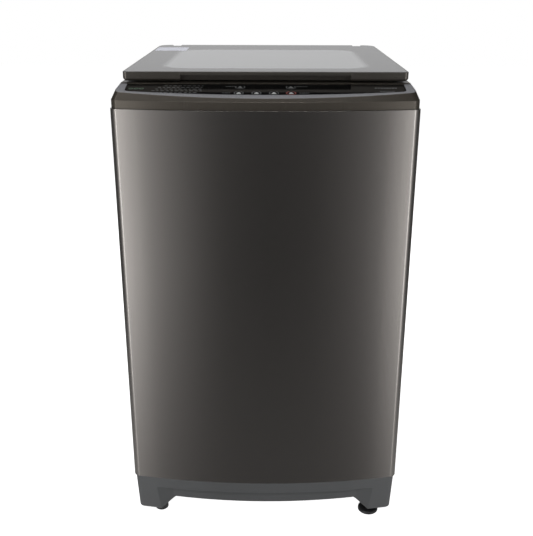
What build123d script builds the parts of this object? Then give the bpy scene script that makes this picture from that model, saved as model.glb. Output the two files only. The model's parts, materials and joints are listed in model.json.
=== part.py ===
"""Top load washing machine with a pulsator, a rear hinged glass lid and a touch panel.

Frame: +Z up, origin on the floor under the middle of the machine, +X to the right of
someone who faces the front, and the front looks along -Y. Millimetres.
"""
from build123d import *
from math import cos, radians, sin, sqrt, tan
import os

# ---- overall size -----------------------------------------------------------------
WIDTH = 600.0
FRONT_Y = -340.0                # middle of the bowed front
REAR_Y = 340.0                  # rear of the top frame
BOW_R = 1500.0                  # plan radius of the bowed front
FRONT_CORNER_R = 16.0
REAR_CORNER_R = 10.0
CABINET_REAR_Y = 335.0

# ---- heights ----------------------------------------------------------------------
BASE_Z0 = 14.0
BASE_Z1 = 104.0
CABINET_Z1 = 933.6
FRAME_EDGE_Z = 950.0            # crease above the upright face of the top frame
FRAME_RIM_Z = 977.0             # height the sloped sides of the top frame are drawn to

# ---- cabinet ----------------------------------------------------------------------
SHEET = 1.0
FLANGE = 14.0
SCREW_R = 2.0
SCREW_HEAD_R = 4.0
SCREW_HEAD_H = 2.2

# ---- base and feet ----------------------------------------------------------------
BASE_TOP_INSET = 3.0
BASE_BOTTOM_INSET = 7.5
DECK_Z0 = 98.0
CREASE_Z = 76.0                 # top of the recessed apron
RECESS_INSET = 17.0
RECESS_HALF_FRONT = 252.0
RECESS_HALF_BACK = 212.0
ARCH_HALF_BOTTOM = 242.0
ARCH_HALF_TOP = 206.0
ARCH_TOP_Z = 46.0
ARCH_MIDDLE_Z = 43.0
FOOT_X = 243.0
FOOT_FRONT_Y = -286.0
FOOT_REAR_Y = 286.0
LEVELLING_FOOT_Y = -291.0
RUBBER_FOOT_R = 15.0
PAD_R = 23.0
STEM_R = 5.0
RUNNING = 0.06                  # radial clearance of a running fit

# ---- top frame and control panel --------------------------------------------------
FRAME_INSET = 2.5
FRAME_WALL = 3.0
PANEL_SLOPE = 12.0              # degrees
PANEL_EDGE_Y = -328.0
PANEL_EDGE_Z = 957.0
GLASS_HALF = 273.0
GLASS_FRONT_Y = -311.0
GLASS_FRONT_INSET = 25.0        # from the front of the machine, at the ends of the glass
GLASS_REAR_Y = -244.0
GLASS_T = 3.0
TRAY_HALF = 242.0               # tray of the display board, V up the panel's slope
TRAY_V0 = 41.0
TRAY_V1 = 73.0
SEAT_START = 2.0                # the seat is cut from this far above the panel
OPENING_HALF = 222.0
OPENING_FRONT_Y = -205.0
OPENING_REAR_Y = 222.0
OPENING_R = 70.0
COLLAR_Z0 = 918.0
STEP_Y = 292.0                  # the deck steps down behind this, for the lid to swing
STEP_Z = 986.0
LID_WALL_HALF = 295.0           # wall round the rear of the lid
LID_WALL_REAR_Y = 336.2
LID_WALL_T = 5.0
LID_WALL_Z = 1003.0
LID_WALL_START_Y = 60.0

# ---- lid --------------------------------------------------------------------------
LID_SLOPE = 2.0                 # degrees
LID_FRONT_Y = -239.0
LID_FRONT_Z = 979.0             # underside at the front
LID_HALF = 284.0
LID_LENGTH = 564.0
LID_T = 18.0
LID_GLASS_T = 4.0
LID_CORNER_R = 28.0
LID_FRONT_CORNER_R = 8.0
WINDOW_HALF = 214.0
WINDOW_Y0 = 52.0                # along the lid from its front edge
WINDOW_Y1 = 434.0
WINDOW_R = 50.0
HANDLE_HALF = 170.0
HANDLE_LIP = 11.0
HANDLE_DEPTH = 15.0
HINGE_Y = 316.0
HINGE_Z = 1006.0
HINGE_X = 239.0
HINGE_POST_W = 20.0
HINGE_NOTCH_W = 23.0
HINGE_PIN_R = 3.0

# ---- rear connections -------------------------------------------------------------
VALVE_XS = (-190.0, -125.0)
VALVE_Z = 958.0
THREAD_R = 13.2
POCKET_X0 = -222.0
POCKET_X1 = -92.0
POCKET_Y = 308.0
POCKET_Z0 = 938.0
POCKET_Z1 = 979.0
DRAIN_X = -190.0
DRAIN_Z = 45.0
DRAIN_RISE_Y = 232.0
DRAIN_R = 13.0
GLAND_X = 235.0
GLAND_Z = 160.0

# ---- detergent drawer -------------------------------------------------------------
DRAWER_X0 = 40.0
DRAWER_X1 = 170.0
DRAWER_Y1 = 302.0
DRAWER_Z0 = 930.0
DRAWER_Z1 = 966.0
DRAWER_GAP = 0.6

# ---- tub, basket and pulsator -----------------------------------------------------
TUB_R = 270.0
TUB_WALL = 4.0
TUB_FLOOR_Z0 = 184.0
TUB_FLOOR_Z1 = 190.0
TUB_Z1 = 884.0
TUB_COVER_R = 212.0
BOSS_R = 40.0
BOSS_Z0 = 150.0
BOSS_Z1 = 212.0
BEARING_R = 30.0
ROD_XY = 255.0
ROD_R = 4.0
LUG_Z0 = 296.0
LUG_T = 20.0
BASKET_R = 250.0
BASKET_SHEET = 1.2
BASKET_Z0 = 222.0
BASKET_Z1 = 852.0
RING_Z1 = 876.0
RING_INNER_R = 216.0
HOLE_R = 3.0
HOLE_COLUMNS = 24
HOLE_ROWS = 11
SPIN_SHAFT_R = 15.0
WASH_SHAFT_R = 10.0
PULSATOR_R = 185.0
PULSATOR_Z0 = 238.0
PULSATOR_FINS = 6

# ---- drive ------------------------------------------------------------------------
PLATE_Z0 = 166.0
PLATE_T = 6.0
CLUTCH_R = 68.0
CLUTCH_Z0 = 100.0
PULLEY_R = 62.0
PULLEY_Z0 = 70.0
PULLEY_T = 18.0
MOTOR_Y = 160.0
MOTOR_R = 62.0
MOTOR_Z0 = 92.0
MOTOR_PULLEY_R = 20.0
GROOVE_DEPTH = 6.0
BELT_T = 6.0
BELT_W = 8.0

PANEL = Plane(
    origin=(0, PANEL_EDGE_Y, PANEL_EDGE_Z),
    x_dir=(1, 0, 0),
    z_dir=(0, -sin(radians(PANEL_SLOPE)), cos(radians(PANEL_SLOPE))),
)
LID = Plane(
    origin=(0, LID_FRONT_Y, LID_FRONT_Z),
    x_dir=(1, 0, 0),
    z_dir=(0, -sin(radians(LID_SLOPE)), cos(radians(LID_SLOPE))),
)

os.makedirs("parts", exist_ok=True)


# ---- helpers ----------------------------------------------------------------------
def save(builder, name):
    """Label a finished piece and write its file."""
    builder.part.label = name
    export_step(builder.part, f"parts/{name}.step")


def bow_y(x, inset):
    """Y of the bowed front at x, moved in by inset."""
    radius = BOW_R - inset
    return FRONT_Y + inset + radius - sqrt(radius**2 - x**2)


def plan_face(inset, rear_y, half=None, front_inset=None):
    """Plan of the machine: bowed front, rounded corners and a straight rear."""
    half = WIDTH / 2 - inset if half is None else half
    front_inset = inset if front_inset is None else front_inset
    shoulder = bow_y(half, front_inset)
    with BuildSketch() as plan:
        with BuildLine():
            ThreePointArc((-half, shoulder), (0, FRONT_Y + front_inset), (half, shoulder))
            Polyline((half, shoulder), (half, rear_y), (-half, rear_y), (-half, shoulder))
        make_face()
        fillet(plan.vertices().sort_by(Axis.Y)[:2], max(2.0, FRONT_CORNER_R - inset / 2))
        fillet(plan.vertices().sort_by(Axis.Y)[-2:], max(2.0, REAR_CORNER_R - inset / 2))
    return plan.sketch


def opening_face(grow):
    """Plan of the laundry opening in the top frame, grown by grow."""
    depth = OPENING_REAR_Y - OPENING_FRONT_Y
    with BuildSketch() as plan:
        with Locations((0, (OPENING_FRONT_Y + OPENING_REAR_Y) / 2)):
            RectangleRounded(2 * (OPENING_HALF + grow), depth + 2 * grow, OPENING_R + grow)
    return plan.sketch


def deck_z(y):
    """Height of the top frame's deck under the lid."""
    return LID_FRONT_Z - 3.0 + tan(radians(LID_SLOPE)) * (y - LID_FRONT_Y)


def under_deck_face(drop):
    """Side view of everything below the top frame's upper surface, in Y and Z."""
    slope = tan(radians(PANEL_SLOPE))
    outside = 20.0
    front = FRONT_Y - outside
    rear = REAR_Y + outside
    floor = CABINET_Z1 - 30.0
    with BuildSketch(Plane.YZ.offset(-WIDTH)) as side:
        with BuildLine():
            Polyline(
                (front, floor),
                (front, PANEL_EDGE_Z + slope * (front - PANEL_EDGE_Y) - drop),
                (LID_FRONT_Y, deck_z(LID_FRONT_Y) - drop),
                (STEP_Y - drop, deck_z(STEP_Y - drop) - drop),
                (STEP_Y - drop, STEP_Z - drop),
                (rear, STEP_Z - drop),
                (rear, floor),
                close=True,
            )
        make_face()
    return side.sketch


def frame_block(shrink, z0):
    """The top frame as a solid block, or its hollow when shrunk by the wall."""
    inset = FRAME_INSET + shrink
    rise = 1.5 * (FRAME_RIM_Z - FRAME_EDGE_Z)
    with BuildPart() as block:
        with BuildSketch(Plane.XY.offset(z0)):
            add(plan_face(inset, REAR_Y - shrink))
        extrude(amount=FRAME_EDGE_Z - z0)
        with BuildSketch(Plane.XY.offset(FRAME_EDGE_Z)):
            add(plan_face(inset, REAR_Y - shrink))
        with BuildSketch(Plane.XY.offset(FRAME_EDGE_Z + rise)):
            add(plan_face(inset, REAR_Y - shrink - 4.0,
                          half=WIDTH / 2 - inset - 0.39 * rise,
                          front_inset=inset + rise))
        loft()
        add(under_deck_face(shrink))
        extrude(amount=2 * WIDTH, dir=(1, 0, 0), mode=Mode.INTERSECT)
    return block.part


def screw(length, down=True):
    """A pan head screw at the current location, its head's seat at the origin."""
    sign = -1 if down else 1
    Cylinder(SCREW_R, length, align=(Align.CENTER, Align.CENTER, Align.MAX if down else Align.MIN))
    with Locations((0, 0, -sign * SCREW_HEAD_H / 2)):
        Cylinder(SCREW_HEAD_R, SCREW_HEAD_H)


CORNERS = {
    "front_left": (-1, -1),
    "front_right": (1, -1),
    "rear_left": (-1, 1),
    "rear_right": (1, 1),
}
FIXED_FEET = {
    "front_left": (-FOOT_X, FOOT_FRONT_Y),
    "rear_left": (-FOOT_X, FOOT_REAR_Y),
    "rear_right": (FOOT_X, FOOT_REAR_Y),
}
BASE_SCREW_POINTS = (
    [(side * (WIDTH / 2 - 8.0), y) for side in (-1, 1) for y in (-200.0, 0.0, 200.0)]
    + [(x, bow_y(x, 8.0)) for x in (-150.0, 150.0)]
)

TOP_SCREW_POINTS = [(side * 290.0, y) for side in (-1, 1) for y in (-180.0, 20.0, 220.0)]

# ---- base frame -------------------------------------------------------------------
with BuildPart() as base_frame:
    with BuildSketch(Plane.XY.offset(BASE_Z0)):
        add(plan_face(BASE_BOTTOM_INSET, CABINET_REAR_Y - BASE_BOTTOM_INSET))
    with BuildSketch(Plane.XY.offset(BASE_Z1)):
        add(plan_face(BASE_TOP_INSET, CABINET_REAR_Y - BASE_TOP_INSET))
    loft()
    fillet(base_frame.faces().sort_by(Axis.Z)[0].edges(), 4.0)
    # recessed apron across the front
    with BuildSketch(Plane.XY.offset(BASE_Z0 - 1)):
        with BuildLine():
            shallow = bow_y(RECESS_HALF_FRONT, BASE_TOP_INSET)
            deep = bow_y(RECESS_HALF_BACK, RECESS_INSET)
            ThreePointArc(
                (-RECESS_HALF_BACK, deep), (0, FRONT_Y + RECESS_INSET), (RECESS_HALF_BACK, deep)
            )
            Polyline(
                (RECESS_HALF_BACK, deep),
                (RECESS_HALF_FRONT, shallow),
                (RECESS_HALF_FRONT, FRONT_Y - 20),
                (-RECESS_HALF_FRONT, FRONT_Y - 20),
                (-RECESS_HALF_FRONT, shallow),
                (-RECESS_HALF_BACK, deep),
            )
        make_face()
    extrude(amount=CREASE_Z - BASE_Z0 + 1, mode=Mode.SUBTRACT)
    # hollow underside, with a block left at each corner for the foot
    with BuildSketch(Plane.XY.offset(BASE_Z0 - 1)):
        Rectangle(2 * 220.0, 2 * 326.0)
        add(plan_face(RECESS_INSET + 3.5, CABINET_REAR_Y - 12.0), mode=Mode.INTERSECT)
        Rectangle(2 * 288.0, 2 * 252.0)
        for x, y in [*FIXED_FEET.values(), (FOOT_X, FOOT_FRONT_Y)]:
            with Locations((x + (8.0 if x > 0 else -8.0), y + (5.0 if y < 0 else -5.0))):
                Rectangle(50.0, 38.0)
    extrude(amount=DECK_Z0 - BASE_Z0 + 1, mode=Mode.SUBTRACT)
    # arches between the feet: front, rear and both sides
    with BuildSketch(Plane.XZ.offset(WIDTH)):
        with BuildLine():
            Polyline(
                (-ARCH_HALF_BOTTOM, BASE_Z0 - 5),
                (-ARCH_HALF_BOTTOM, BASE_Z0),
                (-ARCH_HALF_TOP, ARCH_TOP_Z),
            )
            ThreePointArc((-ARCH_HALF_TOP, ARCH_TOP_Z), (0, ARCH_MIDDLE_Z), (ARCH_HALF_TOP, ARCH_TOP_Z))
            Polyline(
                (ARCH_HALF_TOP, ARCH_TOP_Z),
                (ARCH_HALF_BOTTOM, BASE_Z0),
                (ARCH_HALF_BOTTOM, BASE_Z0 - 5),
                (-ARCH_HALF_BOTTOM, BASE_Z0 - 5),
            )
        make_face()
    extrude(amount=-(WIDTH - 240.0), mode=Mode.SUBTRACT)
    with BuildSketch(Plane.XZ.offset(-240.0)):
        Polygon(
            (-225, BASE_Z0 - 5), (-225, BASE_Z0), (-206, 64.0), (206, 64.0), (225, BASE_Z0),
            (225, BASE_Z0 - 5), align=None,
        )
    extrude(amount=-120.0, mode=Mode.SUBTRACT)
    with BuildSketch(Plane.YZ.offset(-WIDTH)):
        Polygon(
            (-232, BASE_Z0 - 5), (-232, BASE_Z0), (-205, 38.0), (205, 38.0), (232, BASE_Z0),
            (232, BASE_Z0 - 5), align=None,
        )
    extrude(amount=2 * WIDTH, mode=Mode.SUBTRACT)
    # bosses for the feet, each on a web across its pocket
    with BuildSketch(Plane.XY.offset(BASE_Z0)):
        for x, y in FIXED_FEET.values():
            with Locations((x, y)):
                Circle(11.0)
            with Locations((x, y + (5.0 if y < 0 else -5.0))):
                Rectangle(6.0, 42.0)
    extrude(amount=DECK_Z0 - BASE_Z0 + 1)
    with BuildSketch(Plane.XY.offset(BASE_Z0 + 10)):
        with Locations((FOOT_X, LEVELLING_FOOT_Y)):
            Circle(11.0)
        with Locations((FOOT_X, FOOT_FRONT_Y + 5.0)):
            Rectangle(6.0, 42.0)
    extrude(amount=DECK_Z0 - BASE_Z0 - 9)
    # opening in the deck for the drive
    with BuildSketch(Plane.XY.offset(DECK_Z0 - 1)):
        RectangleRounded(2 * 252.0, 2 * 254.0, 50.0)
    extrude(amount=BASE_Z1 - DECK_Z0 + 2, mode=Mode.SUBTRACT)
    with Locations(*[(x, y, BASE_Z0 - 1) for x, y in FIXED_FEET.values()]):
        Cylinder(STEM_R, 40.0, align=(Align.CENTER, Align.CENTER, Align.MIN), mode=Mode.SUBTRACT)
    with Locations((FOOT_X, LEVELLING_FOOT_Y, BASE_Z0 - 1)):
        Cylinder(STEM_R + RUNNING, 70.0, align=(Align.CENTER, Align.CENTER, Align.MIN),
                 mode=Mode.SUBTRACT)
    with Locations(*[(x, y, BASE_Z1) for x, y in BASE_SCREW_POINTS]):
        Cylinder(SCREW_R, 2 * 14.0, mode=Mode.SUBTRACT)
save(base_frame, "base_frame")

for corner, (x, y) in FIXED_FEET.items():
    with BuildPart() as rubber_foot:
        with Locations((x, y, 0)):
            Cylinder(RUBBER_FOOT_R, BASE_Z0, align=(Align.CENTER, Align.CENTER, Align.MIN))
        chamfer(rubber_foot.edges().sort_by(Axis.Z)[0], 2.0)
        with Locations((x, y, BASE_Z0)):
            Cylinder(STEM_R, 22.0, align=(Align.CENTER, Align.CENTER, Align.MIN))
    save(rubber_foot, f"rubber_foot_{corner}")

with BuildPart() as levelling_foot:
    with Locations((FOOT_X, LEVELLING_FOOT_Y, 0)):
        Cylinder(PAD_R, 8.0, align=(Align.CENTER, Align.CENTER, Align.MIN))
    fillet(levelling_foot.edges().sort_by(Axis.Z)[-1], 3.0)
    chamfer(levelling_foot.edges().sort_by(Axis.Z)[0], 1.0)
    with BuildSketch(Plane.XY.offset(8.0)):
        with Locations((FOOT_X, LEVELLING_FOOT_Y)):
            RegularPolygon(9.0, 6)
    extrude(amount=5.0)
    with Locations((FOOT_X, LEVELLING_FOOT_Y, 13.0)):
        Cylinder(STEM_R, 52.0, align=(Align.CENTER, Align.CENTER, Align.MIN))
    chamfer(levelling_foot.edges().sort_by(Axis.Z)[-1], 1.0)
save(levelling_foot, "levelling_foot")

with BuildPart() as lock_nut:
    with BuildSketch(Plane.XY.offset(BASE_Z0 + 4)):
        with Locations((FOOT_X, LEVELLING_FOOT_Y)):
            RegularPolygon(9.8, 6)
            Circle(STEM_R + RUNNING, mode=Mode.SUBTRACT)
    extrude(amount=6.0)
save(lock_nut, "lock_nut")

# ---- cabinet ----------------------------------------------------------------------
PANEL_SCREW_POINTS = [
    (side * 282.0, z) for side in (-1, 1) for z in (140.0, 340.0, 540.0, 740.0, 900.0)
]
with BuildPart() as cabinet_shell:
    with BuildSketch(Plane.XY.offset(BASE_Z1)):
        add(plan_face(0, CABINET_REAR_Y))
        add(plan_face(SHEET, CABINET_REAR_Y - SHEET), mode=Mode.SUBTRACT)
        with Locations((0, CABINET_REAR_Y)):
            Rectangle(WIDTH - 4 * FLANGE, 30.0, mode=Mode.SUBTRACT)
    extrude(amount=CABINET_Z1 - BASE_Z1)
    for z in (BASE_Z1, CABINET_Z1 - SHEET):
        with BuildSketch(Plane.XY.offset(z)):
            add(plan_face(SHEET / 2, CABINET_REAR_Y - SHEET / 2))
            add(plan_face(FLANGE, CABINET_REAR_Y - FLANGE), mode=Mode.SUBTRACT)
            with Locations((0, CABINET_REAR_Y)):
                Rectangle(WIDTH, 30.0, mode=Mode.SUBTRACT)
        extrude(amount=SHEET)
    with Locations(*[(x, y, BASE_Z1) for x, y in BASE_SCREW_POINTS]):
        Cylinder(SCREW_R, 20.0, mode=Mode.SUBTRACT)
    with Locations(*[(x, y, CABINET_Z1) for x, y in TOP_SCREW_POINTS]):
        Cylinder(SCREW_R, 20.0, mode=Mode.SUBTRACT)
    with Locations(*[(x, CABINET_REAR_Y, z) for x, z in PANEL_SCREW_POINTS]):
        Cylinder(SCREW_R, 10.0, rotation=(90, 0, 0), mode=Mode.SUBTRACT)
save(cabinet_shell, "cabinet_shell")

RIB_DEPTH = 2.6
RIB_ZS = [200.0 + 150.0 * i for i in range(5)]
PANEL_OUT_Y = CABINET_REAR_Y - SHEET
with BuildPart() as rear_panel:
    with BuildSketch(Plane.XZ.offset(-(PANEL_OUT_Y - SHEET))):
        with Locations((0, (BASE_Z1 + CABINET_Z1) / 2)):
            Rectangle(2 * 288.0, CABINET_Z1 - BASE_Z1 - 2 * SHEET)
    extrude(amount=-SHEET)
    with BuildSketch(Plane.XZ.offset(-PANEL_OUT_Y)):
        with Locations(*[(0, z) for z in RIB_ZS]):
            SlotOverall(440.0, 26.0)
    extrude(amount=-RIB_DEPTH, taper=40)
    with BuildSketch(Plane.XZ.offset(-(PANEL_OUT_Y - SHEET))):
        with Locations(*[(0, z) for z in RIB_ZS]):
            SlotOverall(438.0, 24.0)
    extrude(amount=-RIB_DEPTH, taper=40, mode=Mode.SUBTRACT)
    with Locations((GLAND_X, PANEL_OUT_Y, GLAND_Z)):
        Cylinder(8.0, 10.0, rotation=(90, 0, 0), mode=Mode.SUBTRACT)
    with Locations(*[(x, PANEL_OUT_Y, z) for x, z in PANEL_SCREW_POINTS]):
        Cylinder(SCREW_R, 10.0, rotation=(90, 0, 0), mode=Mode.SUBTRACT)
save(rear_panel, "rear_panel")

with BuildPart() as cabinet_screws:
    with Locations(*[(x, y, BASE_Z1 + SHEET) for x, y in BASE_SCREW_POINTS]):
        screw(12.0)
    with Locations(*[(x, y, CABINET_Z1 - SHEET) for x, y in TOP_SCREW_POINTS]):
        screw(9.0, down=False)
    for x, z in PANEL_SCREW_POINTS:
        with BuildSketch(Plane.XZ.offset(-(CABINET_REAR_Y - 9.0))):
            with Locations((x, z)):
                Circle(SCREW_R)
        extrude(amount=-9.0)
        with BuildSketch(Plane.XZ.offset(-CABINET_REAR_Y)):
            with Locations((x, z)):
                Circle(SCREW_HEAD_R)
        extrude(amount=-SCREW_HEAD_H)
save(cabinet_screws, "cabinet_screws")

with BuildPart() as cord_gland:
    with BuildSketch(Plane.XZ.offset(-PANEL_OUT_Y)):
        with Locations((GLAND_X, GLAND_Z)):
            Circle(12.0)
    extrude(amount=-4.5)
    with BuildSketch(Plane.XZ.offset(-(PANEL_OUT_Y - 10.0))):
        with Locations((GLAND_X, GLAND_Z)):
            Circle(8.0)
    extrude(amount=-10.0)
    with BuildSketch(Plane.XZ.offset(-(PANEL_OUT_Y - 12.0))):
        with Locations((GLAND_X, GLAND_Z)):
            Circle(4.1)
    extrude(amount=-20.0, mode=Mode.SUBTRACT)
save(cord_gland, "cord_gland")

# ---- top frame --------------------------------------------------------------------
frame_outside = frame_block(0, CABINET_Z1)
frame_inside = frame_block(FRAME_WALL, CABINET_Z1 - 10.0)

with BuildPart() as collar:
    with BuildSketch(Plane.XY.offset(COLLAR_Z0)):
        add(opening_face(FRAME_WALL))
    extrude(amount=100.0)
    add(under_deck_face(0.5))
    extrude(amount=2 * WIDTH, dir=(1, 0, 0), mode=Mode.INTERSECT)

with BuildPart() as pocket_wall:
    with Locations(((POCKET_X0 + POCKET_X1) / 2, POCKET_Y - FRAME_WALL, POCKET_Z0 - FRAME_WALL)):
        Box(POCKET_X1 - POCKET_X0 + 2 * FRAME_WALL, REAR_Y - POCKET_Y + FRAME_WALL,
            POCKET_Z1 - POCKET_Z0 + 2 * FRAME_WALL,
            align=(Align.CENTER, Align.MIN, Align.MIN))

# low wall round the rear of the lid, rising along its sides
with BuildPart() as lid_wall:
    with BuildSketch(Plane.XY.offset(FRAME_EDGE_Z)) as wall_plan:
        with Locations((0, LID_WALL_REAR_Y / 2)):
            Rectangle(2 * LID_WALL_HALF, LID_WALL_REAR_Y)
        fillet(wall_plan.vertices().sort_by(Axis.Y)[-2:], REAR_CORNER_R - 2.0)
        with Locations((0, (LID_WALL_REAR_Y - LID_WALL_T) / 2)):
            Rectangle(2 * (LID_HALF + 2.5), LID_WALL_REAR_Y - LID_WALL_T, mode=Mode.SUBTRACT)
    extrude(amount=LID_WALL_Z - FRAME_EDGE_Z)
    chamfer(lid_wall.faces().sort_by(Axis.Z)[-1].edges(), 1.0)
    with BuildSketch(Plane.YZ.offset(-WIDTH)):
        with BuildLine():
            Polyline(
                (LID_WALL_START_Y, FRAME_EDGE_Z), (LID_WALL_START_Y, FRAME_EDGE_Z + 7.0),
                (STEP_Y - 5.0, LID_WALL_Z), (REAR_Y, LID_WALL_Z), (REAR_Y, STEP_Z - 3.0),
                (POCKET_Y + 12.0, STEP_Z - 3.0), (POCKET_Y + 12.0, FRAME_EDGE_Z), close=True,
            )
        make_face()
    extrude(amount=2 * WIDTH, dir=(1, 0, 0), mode=Mode.INTERSECT)

with BuildPart() as hinge_post:
    with BuildSketch(Plane.YZ.offset(HINGE_X - HINGE_POST_W / 2)):
        with BuildLine():
            Polyline(
                (HINGE_Y - 8, HINGE_Z), (HINGE_Y - 10, STEP_Z - 2), (HINGE_Y + 10, STEP_Z - 2),
                (HINGE_Y + 8, HINGE_Z),
            )
            ThreePointArc(
                (HINGE_Y + 8, HINGE_Z), (HINGE_Y, HINGE_Z + 8), (HINGE_Y - 8, HINGE_Z)
            )
        make_face()
    extrude(amount=HINGE_POST_W)

with BuildPart() as top_frame:
    add(frame_outside)
    add(frame_inside, mode=Mode.SUBTRACT)
    add(collar.part)
    with BuildSketch(Plane.XY.offset(COLLAR_Z0 - 1)):
        add(opening_face(0))
    extrude(amount=120.0, mode=Mode.SUBTRACT)
    # seat and window of the control panel glass
    with BuildSketch(PANEL.offset(SEAT_START)) as glass_seat:
        with BuildLine():
            ThreePointArc(
                (-GLASS_HALF, bow_y(GLASS_HALF, GLASS_FRONT_INSET) - PANEL_EDGE_Y),
                (0, GLASS_FRONT_Y - PANEL_EDGE_Y),
                (GLASS_HALF, bow_y(GLASS_HALF, GLASS_FRONT_INSET) - PANEL_EDGE_Y),
            )
            Polyline(
                (GLASS_HALF, bow_y(GLASS_HALF, GLASS_FRONT_INSET) - PANEL_EDGE_Y),
                (GLASS_HALF, GLASS_REAR_Y - PANEL_EDGE_Y),
                (-GLASS_HALF, GLASS_REAR_Y - PANEL_EDGE_Y),
                (-GLASS_HALF, bow_y(GLASS_HALF, GLASS_FRONT_INSET) - PANEL_EDGE_Y),
            )
        make_face()
        fillet(glass_seat.vertices().sort_by(Axis.Y)[:2], 12.0)
    extrude(amount=-(SEAT_START + GLASS_T + 0.4), mode=Mode.SUBTRACT)
    with BuildSketch(PANEL):
        with Locations((0, (TRAY_V0 + TRAY_V1) / 2 + 1.5)):
            Rectangle(2 * (TRAY_HALF + 2.0), TRAY_V1 - TRAY_V0 + 5.0)
    extrude(amount=-30.0, mode=Mode.SUBTRACT)
    # pocket for the water inlets
    add(pocket_wall.part)
    with Locations(((POCKET_X0 + POCKET_X1) / 2, POCKET_Y, POCKET_Z0)):
        Box(POCKET_X1 - POCKET_X0, 60.0, POCKET_Z1 - POCKET_Z0,
            align=(Align.CENTER, Align.MIN, Align.MIN), mode=Mode.SUBTRACT)
    with Locations(*[(x, POCKET_Y, VALVE_Z) for x in VALVE_XS]):
        Cylinder(12.0, 30.0, rotation=(90, 0, 0), mode=Mode.SUBTRACT)
    # mouth of the detergent drawer
    with Locations(((DRAWER_X0 + DRAWER_X1) / 2, OPENING_REAR_Y, (DRAWER_Z0 + DRAWER_Z1) / 2)):
        Box(DRAWER_X1 - DRAWER_X0 + 2 * DRAWER_GAP, 20.0, DRAWER_Z1 - DRAWER_Z0 + 2 * DRAWER_GAP,
            mode=Mode.SUBTRACT)
    # screw bosses along the sides
    with Locations(*[(x, y, CABINET_Z1) for x, y in TOP_SCREW_POINTS]):
        Cylinder(4.8, 12.0, align=(Align.CENTER, Align.CENTER, Align.MIN))
        Cylinder(SCREW_R, 10.0, align=(Align.CENTER, Align.CENTER, Align.MIN),
                 mode=Mode.SUBTRACT)
    # wall round the rear of the lid, and the hinge posts
    add(lid_wall.part)
    add(hinge_post.part)
    mirror(hinge_post.part, about=Plane.YZ)
    with Locations((0, HINGE_Y, HINGE_Z)):
        Cylinder(HINGE_PIN_R + RUNNING, WIDTH, rotation=(0, 90, 0), mode=Mode.SUBTRACT)
save(top_frame, "top_frame")


def panel_rect(x_half, y0, y1, radius):
    """A rounded rectangle on the control panel's plane, y measured up the slope."""
    with Locations((0, (y0 + y1) / 2)):
        RectangleRounded(2 * x_half, y1 - y0, radius)


with BuildPart() as control_panel_glass:
    with BuildSketch(PANEL.offset(-GLASS_T)) as glass_plan:
        with BuildLine():
            edge = bow_y(GLASS_HALF - 0.5, GLASS_FRONT_INSET + 0.5) - PANEL_EDGE_Y
            ThreePointArc(
                (-GLASS_HALF + 0.5, edge), (0, GLASS_FRONT_Y + 0.5 - PANEL_EDGE_Y),
                (GLASS_HALF - 0.5, edge),
            )
            Polyline(
                (GLASS_HALF - 0.5, edge),
                (GLASS_HALF - 0.5, GLASS_REAR_Y - 0.5 - PANEL_EDGE_Y),
                (-GLASS_HALF + 0.5, GLASS_REAR_Y - 0.5 - PANEL_EDGE_Y),
                (-GLASS_HALF + 0.5, edge),
            )
        make_face()
        fillet(glass_plan.vertices().sort_by(Axis.Y)[:2], 11.5)
    extrude(amount=GLASS_T - 0.3)
    chamfer(control_panel_glass.faces().sort_by(Axis.Z)[-1].edges(), 0.6)
save(control_panel_glass, "control_panel_glass")

# the tray hangs below the glass and holds the display board
TRAY_TOP = -(GLASS_T + 0.4)
TRAY_DEEP = -13.0
TRAY_MIDDLE = (TRAY_V0 + TRAY_V1) / 2
with BuildPart() as control_panel_tray:
    with BuildSketch(PANEL.offset(TRAY_TOP)):
        panel_rect(TRAY_HALF, TRAY_V0, TRAY_V1, 4.0)
    extrude(amount=TRAY_DEEP - TRAY_TOP)
    with BuildSketch(PANEL.offset(TRAY_TOP)):
        panel_rect(TRAY_HALF - 2.0, TRAY_V0 + 2.0, TRAY_V1 - 2.0, 3.0)
    extrude(amount=TRAY_DEEP - TRAY_TOP + 2.0, mode=Mode.SUBTRACT)
    with BuildSketch(PANEL.offset(TRAY_DEEP + 2.0)):
        with Locations((0, TRAY_MIDDLE)):
            with GridLocations(150.0, 18.0, 4, 2):
                Circle(2.5)
    extrude(amount=2.5)
save(control_panel_tray, "control_panel_tray")

with BuildPart() as display_board:
    with BuildSketch(PANEL.offset(TRAY_DEEP + 4.5)):
        panel_rect(TRAY_HALF - 6.0, TRAY_V0 + 3.5, TRAY_V1 - 3.5, 1.0)
    extrude(amount=1.6)
    with BuildSketch(PANEL.offset(TRAY_DEEP + 6.1)):
        with Locations((0, TRAY_MIDDLE)):
            Rectangle(44.0, 18.0)
        for i in range(6):
            with Locations((-100.0 + 28.0 * i - (8.0 if i < 3 else -72.0), TRAY_MIDDLE)):
                Circle(6.0)
    extrude(amount=2.4)
save(display_board, "display_board")

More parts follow.
